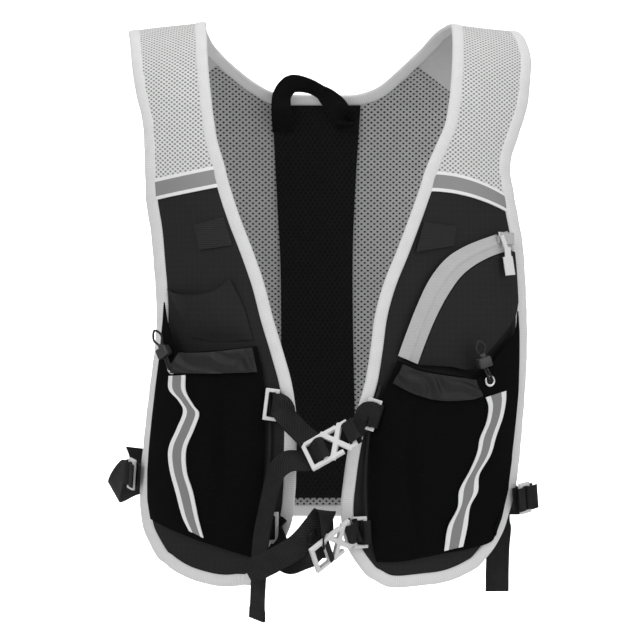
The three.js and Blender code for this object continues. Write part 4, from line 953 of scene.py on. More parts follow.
@dataclass
class Binding:
    """The pale knitted binding folded round every outer edge."""

    finishes: Finishes
    width: float = 0.0105
    outer_height: float = 0.0038
    inner_height: float = -0.0012
    rows: int = 1300
    around: int = 12
    nodes: tuple = ("edge_binding_right", "neck_binding", "edge_binding_left", "outer_binding_left",
            "back_binding_left", "back_binding_right", "outer_binding_right")

    def build(self) -> None:
        """Makes the binding as one closed band with a rounded section."""
        outer = smooth_curve(OUTLINE.loop(), self.rows + 1, closed=True)
        inner = smooth_curve(OUTLINE.loop(self.width), 4 * self.rows, closed=True)
        nearest = self.match(outer, inner)
        grid, u, v = flat_grid("binding_band", self.around, self.rows)
        row = np.rint(v * self.rows).astype(int)
        turn = 2 * math.pi * u
        share = 0.5 - 0.5 * np.sign(np.cos(turn)) * np.abs(np.cos(turn)) ** 0.6
        rise = np.sign(np.sin(turn)) * np.abs(np.sin(turn)) ** 0.6
        middle = (self.outer_height + self.inner_height) / 2
        half = (self.outer_height - self.inner_height) / 2
        place = outer[row] * (1 - share[:, None]) + nearest[row] * share[:, None]
        pucker = 1 + 0.10 * np.sin(2 * math.pi * v * self.rows / 7)
        set_points(grid, BODY.above(place[:, 0], place[:, 1], middle + half * rise * pucker))
        length = np.concatenate([[0], np.cumsum(np.linalg.norm(np.diff(outer, axis=0), axis=1))])
        write_uv(grid, "cloth_size", np.stack([share * self.width, length[row]], axis=1))
        select_only(grid)
        bpy.ops.object.mode_set(mode="EDIT")
        bpy.ops.mesh.select_all(action="SELECT")
        bpy.ops.mesh.remove_doubles(threshold=1e-5)
        bpy.ops.mesh.normals_make_consistent(inside=False)
        bpy.ops.object.mode_set(mode="OBJECT")
        smooth_shading(grid, 70)
        hand_over(grid, self.finishes.binding, "pale_binding", *self.nodes)

    def match(self, outer: Reals, inner: Reals) -> Reals:
        """For each outer place, the inner place that lies square across the band."""
        found = []
        at = 0
        count = len(inner)
        for place in outer:
            window = [(at + k) % count for k in range(-6, 30)]
            gaps = np.linalg.norm(inner[window] - place, axis=1)
            at = window[int(np.argmin(gaps))]
            found.append(inner[at])
        return np.array(found)


# Pockets

@dataclass(frozen=True)
class Layers:
    """Thicknesses and clearances that the laid pieces share."""

    panel_wall: float = 0.002
    layer_gap: float = 0.0005
    pocket_wall: float = 0.0012
    strip_wall: float = 0.001
    patch_wall: float = 0.0012
    tape_wall: float = 0.0016
    rail_width: float = 0.0026
    rail_height: float = 0.0034
    pocket_inset: float = 0.0112

    @property
    def base(self) -> float:
        """The height that a pocket's inner face starts from."""
        return self.panel_wall + self.layer_gap


LAYERS = Layers()


@dataclass(frozen=True)
class PocketForm:
    """How far a pocket stands off its panel."""

    half: Half
    puff: float
    # down, inner and outer across, and height share
    rows: Table

    def stand(self, across: Reals, run: Reals) -> Reals:
        """The pocket's stand-off at places on the body."""
        table = np.array(self.rows)
        down = run / BODY.front_length
        inner = read_table(table[:, 0], table[:, 1], down) * BODY.half_width
        outer = read_table(table[:, 0], table[:, 2], down) * BODY.half_width
        share = np.clip((np.abs(across) - inner) / (outer - inner), 0, 1)
        height = read_table(table[:, 0], table[:, 3], down)
        return self.puff * height * (1 - np.abs(2 * share - 1) ** 2.4)

    def top(self, across: Reals, run: Reals) -> Reals:
        """The height just above the pocket's outer face."""
        return LAYERS.base + self.stand(across, run) + LAYERS.pocket_wall + LAYERS.layer_gap


RIGHT_BOTTLE = PocketForm(Half.RIGHT, 0.013, (
    (0.54, 0.6, 0.83, 0.25), (0.59, 0.42, 0.83, 0.7), (0.63, 0.285, 0.83, 1), (0.7, 0.255, 0.86, 1),
    (0.8, 0.26, 0.9, 0.85), (0.88, 0.29, 0.9, 0.55), (0.96, 0.33, 0.86, 0.05)))
LEFT_BOTTLE = PocketForm(Half.LEFT, 0.015, (
    (0.55, 0.75, 1.03, 0.25), (0.6, 0.55, 1.03, 0.6), (0.65, 0.33, 1.03, 0.9), (0.7, 0.28, 1.03, 1),
    (0.8, 0.225, 0.99, 0.9), (0.88, 0.23, 0.94, 0.6), (0.965, 0.25, 0.85, 0.05)))
CHEST_POCKET = PocketForm(Half.RIGHT, 0.007, (
    (0.5, 0.43, 0.78, 1), (0.54, 0.4, 0.74, 1), (0.58, 0.35, 0.68, 0.7), (0.61, 0.325, 0.64, 0)))
ZIP_POCKET = PocketForm(Half.LEFT, 0.008, (
    (0.44, 0.7, 1.08, 0.3), (0.5, 0.5, 1.05, 0.8), (0.56, 0.4, 1.05, 1), (0.65, 0.32, 1.05, 0.7)))


@dataclass
class Pockets:
    """The bottle pockets with their mouth bands and wavy strips, the chest pocket and the patches."""

    finishes: Finishes
    border_count: int = 61
    gather_count: float = 3.6
    gather_depth: float = 0.0017
    gather_lean: float = 0.35

    def wall(self, name: str, pocket: PocketForm, net: Net, columns: int, rows: int,
            folds: HeightRule | None = None) -> Piece:
        """A pocket wall that stands off its panel."""
        def height(across: Reals, run: Reals, u: Reals, v: Reals) -> Reals:
            """The wall's outer face."""
            extra = folds(across, run, u, v) if folds else 0
            return LAYERS.base + pocket.stand(across, run) + LAYERS.pocket_wall + extra
        return cloth(name, net, columns, rows, height, LAYERS.pocket_wall)

    def lines(self, half: Half, *rows: Table) -> list[Reals]:
        """Smooth border lines through rows of shares."""
        return [shares_line(row, half.side, self.border_count) for row in rows]

    def right_bottle(self) -> None:
        """The right bottle pocket."""
        outer = OUTLINE.edge_line("rightOuterFront", LAYERS.pocket_inset, 0.895, 0.551, self.border_count)
        end, top_end = [(-line[0] / BODY.half_width) for line in (outer[0], outer[-1])]
        inner, bottom, top = self.lines(
            Half.RIGHT,
            ((0.34, 0.948), (0.316, 0.899), (0.281, 0.845), (0.268, 0.781), (0.268, 0.703), (0.275, 0.66),
             (0.305, 0.62)),
            ((end, 0.895), (0.728, 0.907), (0.658, 0.915), (0.568, 0.925), (0.34, 0.948)),
            ((top_end, 0.551), (0.71, 0.592), (0.64, 0.627), (0.5, 0.627), (0.305, 0.62)))

        def folds(across: Reals, run: Reals, u: Reals, v: Reals) -> Reals:
            """The soft upright dent and the loose cloth's unevenness."""
            dent = -0.006 * np.exp(-((u - 0.66) / 0.05) ** 2) * np.clip(1 - np.abs(v - 0.5) * 2, 0, 1)
            rim = inside_rim(u, v, 0.1)
            return dent + rim * crumple(across, run, 0.035, 0.0026, 2.2, 20.0)

        net = Net(bottom, top, outer, inner)
        pocket = self.wall("stretch_bottle_pocket_right", RIGHT_BOTTLE, net, 60, 90, folds)
        hand_over(pocket, self.finishes.stretch_mesh, "black_cloth", "bottle_pocket_right")

    def left_bottle(self) -> None:
        """The left bottle pocket."""
        outer = OUTLINE.edge_line("leftOuterFront", LAYERS.pocket_inset, 0.905, 0.566, self.border_count)
        end, top_end = [(line[0] / BODY.half_width) for line in (outer[0], outer[-1])]
        inner, bottom, top = self.lines(
            Half.LEFT,
            ((0.275, 0.955), (0.256, 0.924), (0.243, 0.86), (0.241, 0.816), (0.25, 0.757), (0.31, 0.69),
             (0.375, 0.642)),
            ((0.275, 0.955), (0.405, 0.954), (0.595, 0.943), (0.701, 0.938), (0.845, 0.927), (end, 0.905)),
            ((0.375, 0.642), (0.482, 0.656), (0.622, 0.664), (0.75, 0.668), (0.83, 0.64), (0.94, 0.6),
             (top_end, 0.566)))

        def folds(across: Reals, run: Reals, u: Reals, v: Reals) -> Reals:
            """The slanting crease and the loose cloth's unevenness."""
            line = np.exp(-((u - 0.30 + 0.12 * v) / 0.03) ** 2)
            crease = -0.0045 * line * np.clip(1 - np.abs(v - 0.45) * 2, 0, 1)
            rim = inside_rim(u, v, 0.1)
            return crease + rim * crumple(across, run, 0.035, 0.0026, 2.2, 30.0)

        net = Net(bottom, top, inner, outer)
        pocket = self.wall("stretch_bottle_pocket_left", LEFT_BOTTLE, net, 60, 90, folds)
        hand_over(pocket, self.finishes.stretch_mesh, "black_cloth", "bottle_pocket_left")

    def chest(self) -> None:
        """The small chest pocket behind the right bottle pocket."""
        inner, outer, bottom, top = self.lines(
            Half.RIGHT, ((0.325, 0.61), (0.37, 0.56), (0.434, 0.516)),
            ((0.635, 0.606), (0.69, 0.568), (0.755, 0.53)),
            ((0.325, 0.61), (0.5, 0.613), (0.635, 0.606)),
            ((0.434, 0.516), (0.504, 0.535), (0.602, 0.541), (0.7, 0.538), (0.755, 0.53)))

        def folds(across: Reals, run: Reals, u: Reals, v: Reals) -> Reals:
            """Unevenness of the loose mouth."""
            return v * crumple(across, run, 0.02, 0.0015, 1.2, 40.0)

        pocket = self.wall("chest_pocket_cloth", CHEST_POCKET, Net(bottom, top, inner, outer), 40, 30, folds)
        hand_over(pocket, self.finishes.ripstop, "black_cloth", "chest_pocket_right")

    def mouth_band(self, pocket: PocketForm, upper: Table, lower: Table) -> None:
        """The gathered band of a bottle pocket's mouth."""
        top, bottom = self.lines(pocket.half, upper, lower)
        net = Net(bottom, top, straight(bottom[0], top[0], 8), straight(bottom[-1], top[-1], 8))

        def height(across: Reals, run: Reals, u: Reals, v: Reals) -> Reals:
            """Gathers, deepest in the middle of the band."""
            wander = np.array([noise.noise(Vector((a * 45, r * 30, 3.0))) for a, r in zip(across, run)])
            turns = 1.6 * self.gather_count * (u + self.gather_lean * v) + 2.2 * wander
            gather = np.cos(math.pi * turns) * np.sin(math.pi * v) ** 0.5
            return (pocket.top(across, run) + LAYERS.pocket_wall + self.gather_depth * (1 + 0.9 * gather)
                    + 0.0008 * np.sin(math.pi * v))

        name = f"mouth_band_{pocket.half.value}"
        band = cloth(f"gathered_{name}", net, 130, 16, height, LAYERS.pocket_wall)
        hand_over(band, self.finishes.gathered_cloth, "black_cloth", name)

    def wavy_strip(self, pocket: PocketForm, rows: Table) -> None:
        """A wavy reflective strip on a bottle pocket.

        Args:
            pocket: The pocket that it lies on.
            rows: Left across and down, then right across and down, from the foot up.
        """
        count = 121
        left = shares_line(tuple(row[:2] for row in rows), pocket.half.side, count)
        right = shares_line(tuple(row[2:] for row in rows), pocket.half.side, count)
        net = Net(straight(left[0], right[0], 10), straight(left[-1], right[-1], 10), left, right)

        def height(across: Reals, run: Reals, u: Reals, v: Reals) -> Reals:
            """A little above the pocket, raised at its stitched borders."""
            border = np.where(np.abs(u - 0.5) > 0.27, 0.0005, 0.0)
            return pocket.top(across, run) + LAYERS.strip_wall + border

        name = f"wavy_strip_{pocket.half.value}"
        strip = cloth(f"reflective_{name}", net, 16, 150, height, LAYERS.strip_wall)
        hand_over(strip, self.finishes.wavy_tape, "reflective_cloth", name)

    def patch(self, half: Half, corners: Table) -> None:
        """A square of elastic webbing, sewn on as a loop for a hose or a whistle."""
        reach = half.side * BODY.half_width
        places = [np.array((reach * across, BODY.run(down))) for across, down in corners]
        net = Net(straight(places[3], places[2], 12), straight(places[0], places[1], 12),
                straight(places[3], places[0], 12), straight(places[2], places[1], 12))
        patch = cloth(f"elastic_square_{half.value}", net, 20, 14, LAYERS.base + LAYERS.patch_wall,
                LAYERS.patch_wall)
        hand_over(patch, self.finishes.elastic, "black_webbing", f"elastic_patch_{half.value}")

    def rail(self, half: Half, rows: Table) -> None:
        """The narrow sewn rail that a sternum strap's ring slides on."""
        middle = shares_line(rows, half.side, 91)
        offset = np.array([LAYERS.rail_width / 2, 0])
        left, right = middle - offset, middle + offset
        net = Net(straight(left[0], right[0], 5), straight(left[-1], right[-1], 5), left, right)

        def height(across: Reals, run: Reals, u: Reals, v: Reals) -> Reals:
            """A rounded top."""
            return LAYERS.base + LAYERS.rail_height * (1 - 0.25 * (2 * u - 1) ** 2)

        rail = cloth(f"sewn_rail_{half.value}", net, 6, 120, height, LAYERS.rail_height * 0.75)
        hand_over(rail, self.finishes.ripstop, "black_webbing", f"strap_rail_{half.value}")

    def build(self) -> None:
        """Makes all pockets and what is laid on them."""
        self.right_bottle()
        self.left_bottle()
        self.chest()
        self.mouth_band(RIGHT_BOTTLE, ((0.64, 0.631), (0.5, 0.629), (0.32, 0.622)),
                ((0.68, 0.662), (0.5, 0.662), (0.295, 0.66)))
        self.mouth_band(LEFT_BOTTLE, ((0.395, 0.648), (0.482, 0.659), (0.622, 0.667), (0.72, 0.672)),
                ((0.345, 0.677), (0.45, 0.694), (0.56, 0.703), (0.69, 0.702), (0.75, 0.697)))
        self.wavy_strip(RIGHT_BOTTLE, (
            (0.62, 0.908, 0.555, 0.918), (0.648, 0.885, 0.572, 0.888), (0.67, 0.85, 0.59, 0.848),
            (0.696, 0.81, 0.615, 0.815), (0.696, 0.78, 0.613, 0.78), (0.656, 0.75, 0.576, 0.75),
            (0.622, 0.722, 0.55, 0.725), (0.644, 0.705, 0.574, 0.712), (0.691, 0.688, 0.609, 0.69),
            (0.692, 0.667, 0.61, 0.665)))
        self.wavy_strip(LEFT_BOTTLE, (
            (0.6, 0.938, 0.69, 0.932), (0.61, 0.9, 0.703, 0.9), (0.65, 0.87, 0.71, 0.868),
            (0.655, 0.842, 0.743, 0.845), (0.7, 0.812, 0.747, 0.818), (0.733, 0.785, 0.8, 0.788),
            (0.745, 0.762, 0.825, 0.76), (0.775, 0.738, 0.858, 0.73), (0.785, 0.715, 0.872, 0.706),
            (0.77, 0.699, 0.873, 0.69)))
        self.patch(Half.RIGHT, ((0.615, 0.43), (0.469, 0.419), (0.424, 0.463), (0.59, 0.47)))
        self.patch(Half.LEFT, ((0.508, 0.427), (0.67, 0.434), (0.655, 0.464), (0.468, 0.474)))
        self.rail(Half.RIGHT, ((0.31, 0.93), (0.262, 0.86), (0.243, 0.78), (0.243, 0.69)))
        self.rail(Half.LEFT, ((0.235, 0.93), (0.222, 0.86), (0.224, 0.8), (0.245, 0.735), (0.295, 0.68)))


# Places and directions for the straps and the moulded parts

@dataclass(frozen=True)
class Frame:
    """A place with three square directions."""

    origin: Vector
    a: Vector
    b: Vector
    c: Vector

    @staticmethod
    def of(origin: Sequence[float], along: Sequence[float], up: Sequence[float]) -> "Frame":
        """A frame from a place, the direction of its length and one roughly up from it."""
        a = Vector(along).normalized()
        b = Vector(up)
        b = (b - a * b.dot(a)).normalized()
        return Frame(Vector(origin), a, b, a.cross(b))

    @staticmethod
    def on_cloth(across: float, down: float, height: float, angle: float = 0.0) -> "Frame":
        """The frame that lies on the cloth at shares across and down, turned in its plane."""
        place = np.array([across * BODY.half_width]), np.array([BODY.run(down)])
        normal = Vector(BODY.normal(*place)[0])
        level = (Vector((1, 0, 0)) - normal * normal.x).normalized()
        up = normal.cross(level)
        a = level * math.cos(angle) + up * math.sin(angle)
        return Frame.of(BODY.above(*place, np.array([height]))[0], a, normal.cross(a))

    def at(self, a: float, b: float, c: float) -> Vector:
        """A point at distances along the three directions."""
        return self.origin + self.a * a + self.b * b + self.c * c

    def towards(self, a: float, b: float, c: float) -> Vector:
        """A direction in the frame."""
        return (self.a * a + self.b * b + self.c * c).normalized()

    def matrix(self) -> Matrix:
        """The frame as a matrix."""
        rotation = Matrix((self.a, self.b, self.c)).transposed().to_4x4()
        return Matrix.Translation(self.origin) @ rotation


@dataclass(frozen=True)
class Station:
    """A place that webbing passes, with the direction of its width there."""

    point: Vector
    width: Vector


def framed(frame: Frame, a: float, b: float, c: float, lean: float = 0.0, swing: float = 0.0) -> Station:
    """A station in a frame, with its width leaned out of the frame's plane and swung in it."""
    flat = math.cos(lean)
    width = frame.towards(math.sin(swing) * flat, math.cos(swing) * flat, math.sin(lean))
    return Station(frame.at(a, b, c), width)


def over_cloth(across: float, down: float, height: float, angle: float, lean: float = 0.0) -> Station:
    """A station at a height over the cloth."""
    return framed(Frame.on_cloth(across, down, height, angle), 0, 0, 0, lean)


def before_chest(across: float, down: float, forward: float, width: Sequence[float]) -> Station:
    """A station in front of the chest.

    Args:
        across: Distance to the wearer's left, as a share of the half width.
        down: Distance below the shoulders, as a share of the front length.
        forward: Distance in front of the shoulders, as a share of the chest depth.
        width: The direction of the webbing's width.

    Returns:
        The station.
    """
    point = Vector((across * BODY.half_width, -forward * BODY.chest_depth, -down * BODY.front_length))
    return Station(point, Vector(width).normalized())


def centripetal(points: Sequence[Vector], rows: int) -> Reals:
    """Points on a smooth curve, with as many rows between each two of the given points."""
    data = np.array([tuple(p) for p in points])
    padded = np.vstack([2 * data[0] - data[1], data, 2 * data[-1] - data[-2]])
    found = []
    for i in range(len(data) - 1):
        p0, p1, p2, p3 = padded[i:i + 4]
        d0, d1, d2 = [max(np.linalg.norm(q - p) ** 0.5, 1e-4) for p, q in ((p0, p1), (p1, p2), (p2, p3))]
        leave = ((p1 - p0) / d0 - (p2 - p0) / (d0 + d1) + (p2 - p1) / d1) * d1
        arrive = ((p2 - p1) / d1 - (p3 - p1) / (d1 + d2) + (p3 - p2) / d2) * d1
        found += [span(t, p1, p2, leave, arrive) for t in np.arange(rows) / rows]
    found.append(data[-1])
    return np.array(found)


@dataclass(frozen=True)
class WebbingSize:
    """The webbing's width and thickness and how finely it is divided."""

    width: float = 0.020
    wall: float = 0.0014
    bar_gap: float = 0.0005
    rows: int = 8
    columns: int = 8


WEBBING = WebbingSize()
HANDLE_WEBBING = WebbingSize(width=0.018)


def ribbon(name: str, stations: Sequence[Station], size: WebbingSize = WEBBING, hem: float = 0.0,
        ) -> Piece:
    """Makes a flat strap through its stations.

    Args:
        name: The piece's name.
        stations: The places that it passes.
        size: The webbing's size.
        hem: The length that is doubled over at its far end.

    Returns:
        The strap.
    """
    middle = centripetal([s.point for s in stations], size.rows)
    turn = centripetal([s.width for s in stations], size.rows)
    tangent = unit(np.gradient(middle, axis=0))
    across = unit(turn - tangent * (turn * tangent).sum(axis=1, keepdims=True))
    length = np.concatenate([[0], np.cumsum(np.linalg.norm(np.diff(middle, axis=0), axis=1))])
    last = len(middle) - 1
    grid, u, v = flat_grid(name, size.columns, last)
    row = np.rint(v * last).astype(int)
    set_points(grid, middle[row] + across[row] * (size.width * (u - 0.5))[:, None])
    write_uv(grid, "cloth_size", np.stack([u * size.width, length[row]], axis=1))
    from_end = length[-1] - length[row]
    group = grid.vertex_groups.new(name="thickness")
    for index, distance in enumerate(from_end):
        group.add([index], 1.0 if distance < hem else 0.55, "REPLACE")
    wall = size.wall / 0.55
    apply_modifier(grid, "SOLIDIFY", thickness=wall, offset=0, vertex_group="thickness")
    grid.vertex_groups.clear()
    smooth_shading(grid)
    return grid


def turn_round(frame: Frame, at: float, side: int, reach: float, bar: float) -> list[Station]:
    """Stations of webbing that turns round a bar, from behind the bar to its front."""
    radius = bar * math.sqrt(0.5) + WEBBING.bar_gap + WEBBING.wall / 2
    bend = radius * math.sqrt(0.5)
    places = ((at - side * reach, -radius), (at, -radius), (at + side * bend, -bend), (at + side * radius, 0),
            (at + side * bend, bend), (at, radius), (at - side * reach, radius))
    return [framed(frame, a, 0, c) for a, c in places]


def woven_through(frame: Frame, reach: float, side: int) -> list[Station]:
    """Stations of webbing that lies over a ring's outer leg and under its inner one, from the inner."""
    places = ((side * reach, -0.0041), (0, 0), (-side * reach, 0.0036), (-side * (reach + 0.004), 0.001))
    return [framed(frame, a, 0, c) for a, c in places]


# Moulded parts

def bar_block(frame: Frame, start: tuple[float, float], end: tuple[float, float], width: float,
        wall: float) -> Piece:
    """A bar with round ends from one point of a frame's plane to another."""
    first, second = frame.at(*start, 0), frame.at(*end, 0)
    along = second - first
    deselect_all()
    bpy.ops.mesh.primitive_cube_add(size=1)
    block = bpy.context.object
    placing = Frame.of((first + second) / 2, along, frame.c.cross(along)).matrix()
    points = get_points(block) * np.array([along.length + width, width, wall])
    rotation = np.array(placing.to_3x3())
    set_points(block, points @ rotation.T + np.array(placing.translation))
    return block


def moulded(name: str, frame: Frame, bars: Sequence[tuple], wall: float, grain: float = 0.00045,
        ) -> Piece:
    """Joins bars into one smooth moulding.

    Args:
        name: The piece's name.
        frame: The frame that the bars lie in.
        bars: Start, end and width of each bar.
        wall: The moulding's thickness.
        grain: The size of the mesh that its surface is drawn with.

    Returns:
        The moulding.
    """
    blocks = [bar_block(frame, start, end, width, wall) for start, end, width in bars]
    made = join(name, blocks)
    apply_modifier(made, "REMESH", mode="VOXEL", voxel_size=grain)
    apply_modifier(made, "SMOOTH", factor=0.5, iterations=5)
    smooth_shading(made, 80)
    return made


@dataclass
class Hardware:
    """The buckles, rings, eyelets, cord locks and the elastic cords."""

    finishes: Finishes
    buckle_length: float = 0.040
    buckle_bar: float = 0.0036
    side_room: float = 0.0004
    ring_bar: float = 0.003
    ring_width: float = 0.012
    cord_diameter: float = 0.002
    cord_spacing: float = 0.0024
    lock_width: float = 0.012
    lock_depth: float = 0.008
    lock_height: float = 0.009
    lock_room: float = 0.0008
    eyelet_diameter: float = 0.010
    eyelet_wall: float = 0.0012

    def __post_init__(self) -> None:
        """Works out where the parts lie."""
        height = LAYERS.base + LAYERS.rail_height + LAYERS.layer_gap + self.ring_bar / 2
        self.upper_buckle = Frame.of(BODY.spot(0.045, 0.77, 0.020), (0.85, -0.05, 0.48), (-0.37, 0.59, 0.72))
        self.lower_buckle = Frame.of(BODY.spot(0.06, 0.922, 0.024), (0.74, 0.38, 0.55), (-0.16, -0.6, 0.78))
        self.rings = {
            "upper_right": Frame.on_cloth(-0.232, 0.71, height, -0.12),
            "lower_right": Frame.on_cloth(-0.232, 0.9, height, 0),
            "upper_left": Frame.on_cloth(0.246, 0.725, height, -0.3),
            "lower_left": Frame.on_cloth(0.195, 0.907, height, 0.05),
        }
        self.side_rings = {
            Half.RIGHT: Frame.on_cloth(-0.9, 0.826, height + 0.003, -0.15),
            Half.LEFT: Frame.on_cloth(0.985, 0.86, height + 0.003, 0.1),
        }
        self.ring_reach = (self.ring_width - self.ring_bar) / 2
        self.left_bar = -self.buckle_length / 2
        self.middle_bar = -0.175 * self.buckle_length
        self.end_bar = self.buckle_length / 2

    def buckle(self, place: str, frame: Frame) -> None:
        """A hook buckle: a webbing window, crossed bars, an end bar and two open fingers."""
        half = WEBBING.width / 2 + self.side_room + self.buckle_bar / 2
        cross_start, cross_end = -0.04 * self.buckle_length, 0.36 * self.buckle_length
        bar, cross = self.buckle_bar, 1.25 * self.buckle_bar
        bars = (
            ((self.left_bar, -half), (self.left_bar, half), bar),
            ((self.middle_bar, -half), (self.middle_bar, half), bar),
            ((self.left_bar, half), (0.24 * self.buckle_length, half), bar),
            ((self.left_bar, -half), (0.17 * self.buckle_length, -half), bar),
            ((cross_start, half), (cross_end, -half), cross),
            ((cross_start, -half), (cross_end, half), cross),
            ((cross_end, half), (self.end_bar, half), bar),
            ((cross_end, -half), (self.end_bar, -half), bar),
            ((self.end_bar, -half), (self.end_bar, half), bar),
        )
        made = moulded(f"hook_buckle_{place}", frame, bars, bar)
        hand_over(made, self.finishes.pale_plastic, "pale_plastic", f"sternum_buckle_{place}")

    def ring(self, name: str, node: str, frame: Frame) -> None:
        """A flat ring for the webbing."""
        wide = self.ring_reach
        long = WEBBING.width / 2 + self.side_room + self.ring_bar / 2
        bars = (((-wide, -long), (-wide, long), self.ring_bar), ((wide, -long), (wide, long), self.ring_bar),
                ((-wide, long), (wide, long), self.ring_bar), ((-wide, -long), (wide, -long), self.ring_bar))
        made = moulded(name, frame, bars, self.ring_bar)
        hand_over(made, self.finishes.pale_plastic, "pale_plastic", node)

    def eyelet(self, half: Half, frame: Frame) -> None:
        """A rolled metal eyelet."""
        deselect_all()
        bpy.ops.mesh.primitive_torus_add(major_radius=0.37 * self.eyelet_diameter,
                minor_radius=0.13 * self.eyelet_diameter,
                major_segments=48, minor_segments=16)
        made = bpy.context.object
        made.name = f"rolled_eyelet_{half.value}"
        made.data.name = made.name
        set_points(made, get_points(made) * np.array([1, 1, 0.8]))
        made.data.transform(frame.matrix())
        smooth_shading(made, 80)
        hand_over(made, self.finishes.metal, "bright_metal", f"eyelet_{half.value}")

    def lock(self, half: Half, frame: Frame) -> None:
        """A cord lock with its press button."""
        parts = []
        for size, offset in (((self.lock_width, self.lock_height, self.lock_depth), (0, 0, 0)),
                ((0.45 * self.lock_width, 0.5 * self.lock_height, 0.6 * self.lock_depth),
                (0, 0.62 * self.lock_height, 0))):
            deselect_all()
            bpy.ops.mesh.primitive_cube_add(size=1)
            block = bpy.context.object
            set_points(block, get_points(block) * np.array(size) + np.array(offset))
            apply_modifier(block, "BEVEL", width=0.0016, segments=4, limit_method="NONE")
            parts.append(block)
        made = join(f"press_lock_{half.value}", parts)
        made.data.transform(frame.matrix())
        smooth_shading(made, 60)
        hand_over(made, self.finishes.dark_plastic, "dark_plastic", f"cord_lock_{half.value}")

    def cord(self, pocket: PocketForm, eyelet_at: tuple, lock_at: tuple, loop: float, angle: float,
            length: float) -> None:
        """An elastic cord from an eyelet through its lock and round into a loop.

        Args:
            pocket: The pocket that it closes.
            eyelet_at: The eyelet's shares across and down.
            lock_at: The lock's shares across and down.
            loop: How far the loop stands up from the lock.
            angle: How far both are turned.
            length: The cord's length; not used.
        """
        def level(place: tuple) -> float:
            """The height just above the pocket."""
            return float(pocket.top(np.array([pocket.half.side * place[0] * BODY.half_width]),
                    np.array([BODY.run(place[1])]))[0])

        side = pocket.half.side
        eyelet = Frame.on_cloth(side * eyelet_at[0], eyelet_at[1], level(eyelet_at) + self.eyelet_wall, angle)
        lock = Frame.on_cloth(side * lock_at[0], lock_at[1],
                level(lock_at) + self.lock_room + self.lock_depth / 2, angle)
        self.eyelet(pocket.half, eyelet)
        self.lock(pocket.half, lock)
        strand, wide, top = self.cord_spacing / 2, 0.3 * loop, self.lock_height / 2

        def up(sign: int) -> list[Vector]:
            """The strand from the eyelet through the lock."""
            return [eyelet.at(sign * strand, 0, 0), eyelet.at(sign * strand, 0, 0.0026),
                    lock.at(sign * strand, -top - 0.001, 0), lock.at(sign * strand, 0, 0),
                    lock.at(sign * strand, top + 0.001, 0)]

        points = centripetal([
            *up(-1), lock.at(-wide, top + 0.6 * loop, 0.0006), lock.at(0, top + loop, 0.001),
                lock.at(wide, top + 0.6 * loop, 0.0006), *up(1)[::-1]], 8)
        curve = bpy.data.curves.new(f"elastic_cord_{pocket.half.value}", "CURVE")
        curve.dimensions = "3D"
        spline = curve.splines.new("POLY")
        spline.points.add(len(points) - 1)
        for place, point in zip(points, spline.points):
            point.co = (*place, 1)
        curve.bevel_depth = self.cord_diameter / 2
        curve.bevel_resolution = 4
        curve.use_fill_caps = True
        made = bpy.data.objects.new(curve.name, curve)
        bpy.context.collection.objects.link(made)
        hand_over(made, self.finishes.cord, "black_webbing", f"pocket_cord_{pocket.half.value}")
        measured = float(np.linalg.norm(np.diff(points, axis=0), axis=1).sum())
        log.info("cord of the %s pocket measures %.4f m", pocket.half.value, measured)

    def build(self) -> None:
        """Makes all the moulded and metal parts."""
        self.buckle("upper", self.upper_buckle)
        self.buckle("lower", self.lower_buckle)
        for place, frame in self.rings.items():
            self.ring(f"flat_ring_{place}", f"strap_ring_{place}", frame)
        for half, frame in self.side_rings.items():
            self.ring(f"side_slide_{half.value}", f"side_ring_{half.value}", frame)
        self.cord(RIGHT_BOTTLE, (0.675, 0.655), (0.705, 0.63), 0.016, 0.5, 0.0856)
        self.cord(LEFT_BOTTLE, (0.79, 0.674), (0.755, 0.645), 0.014, 0.3, 0.0825)


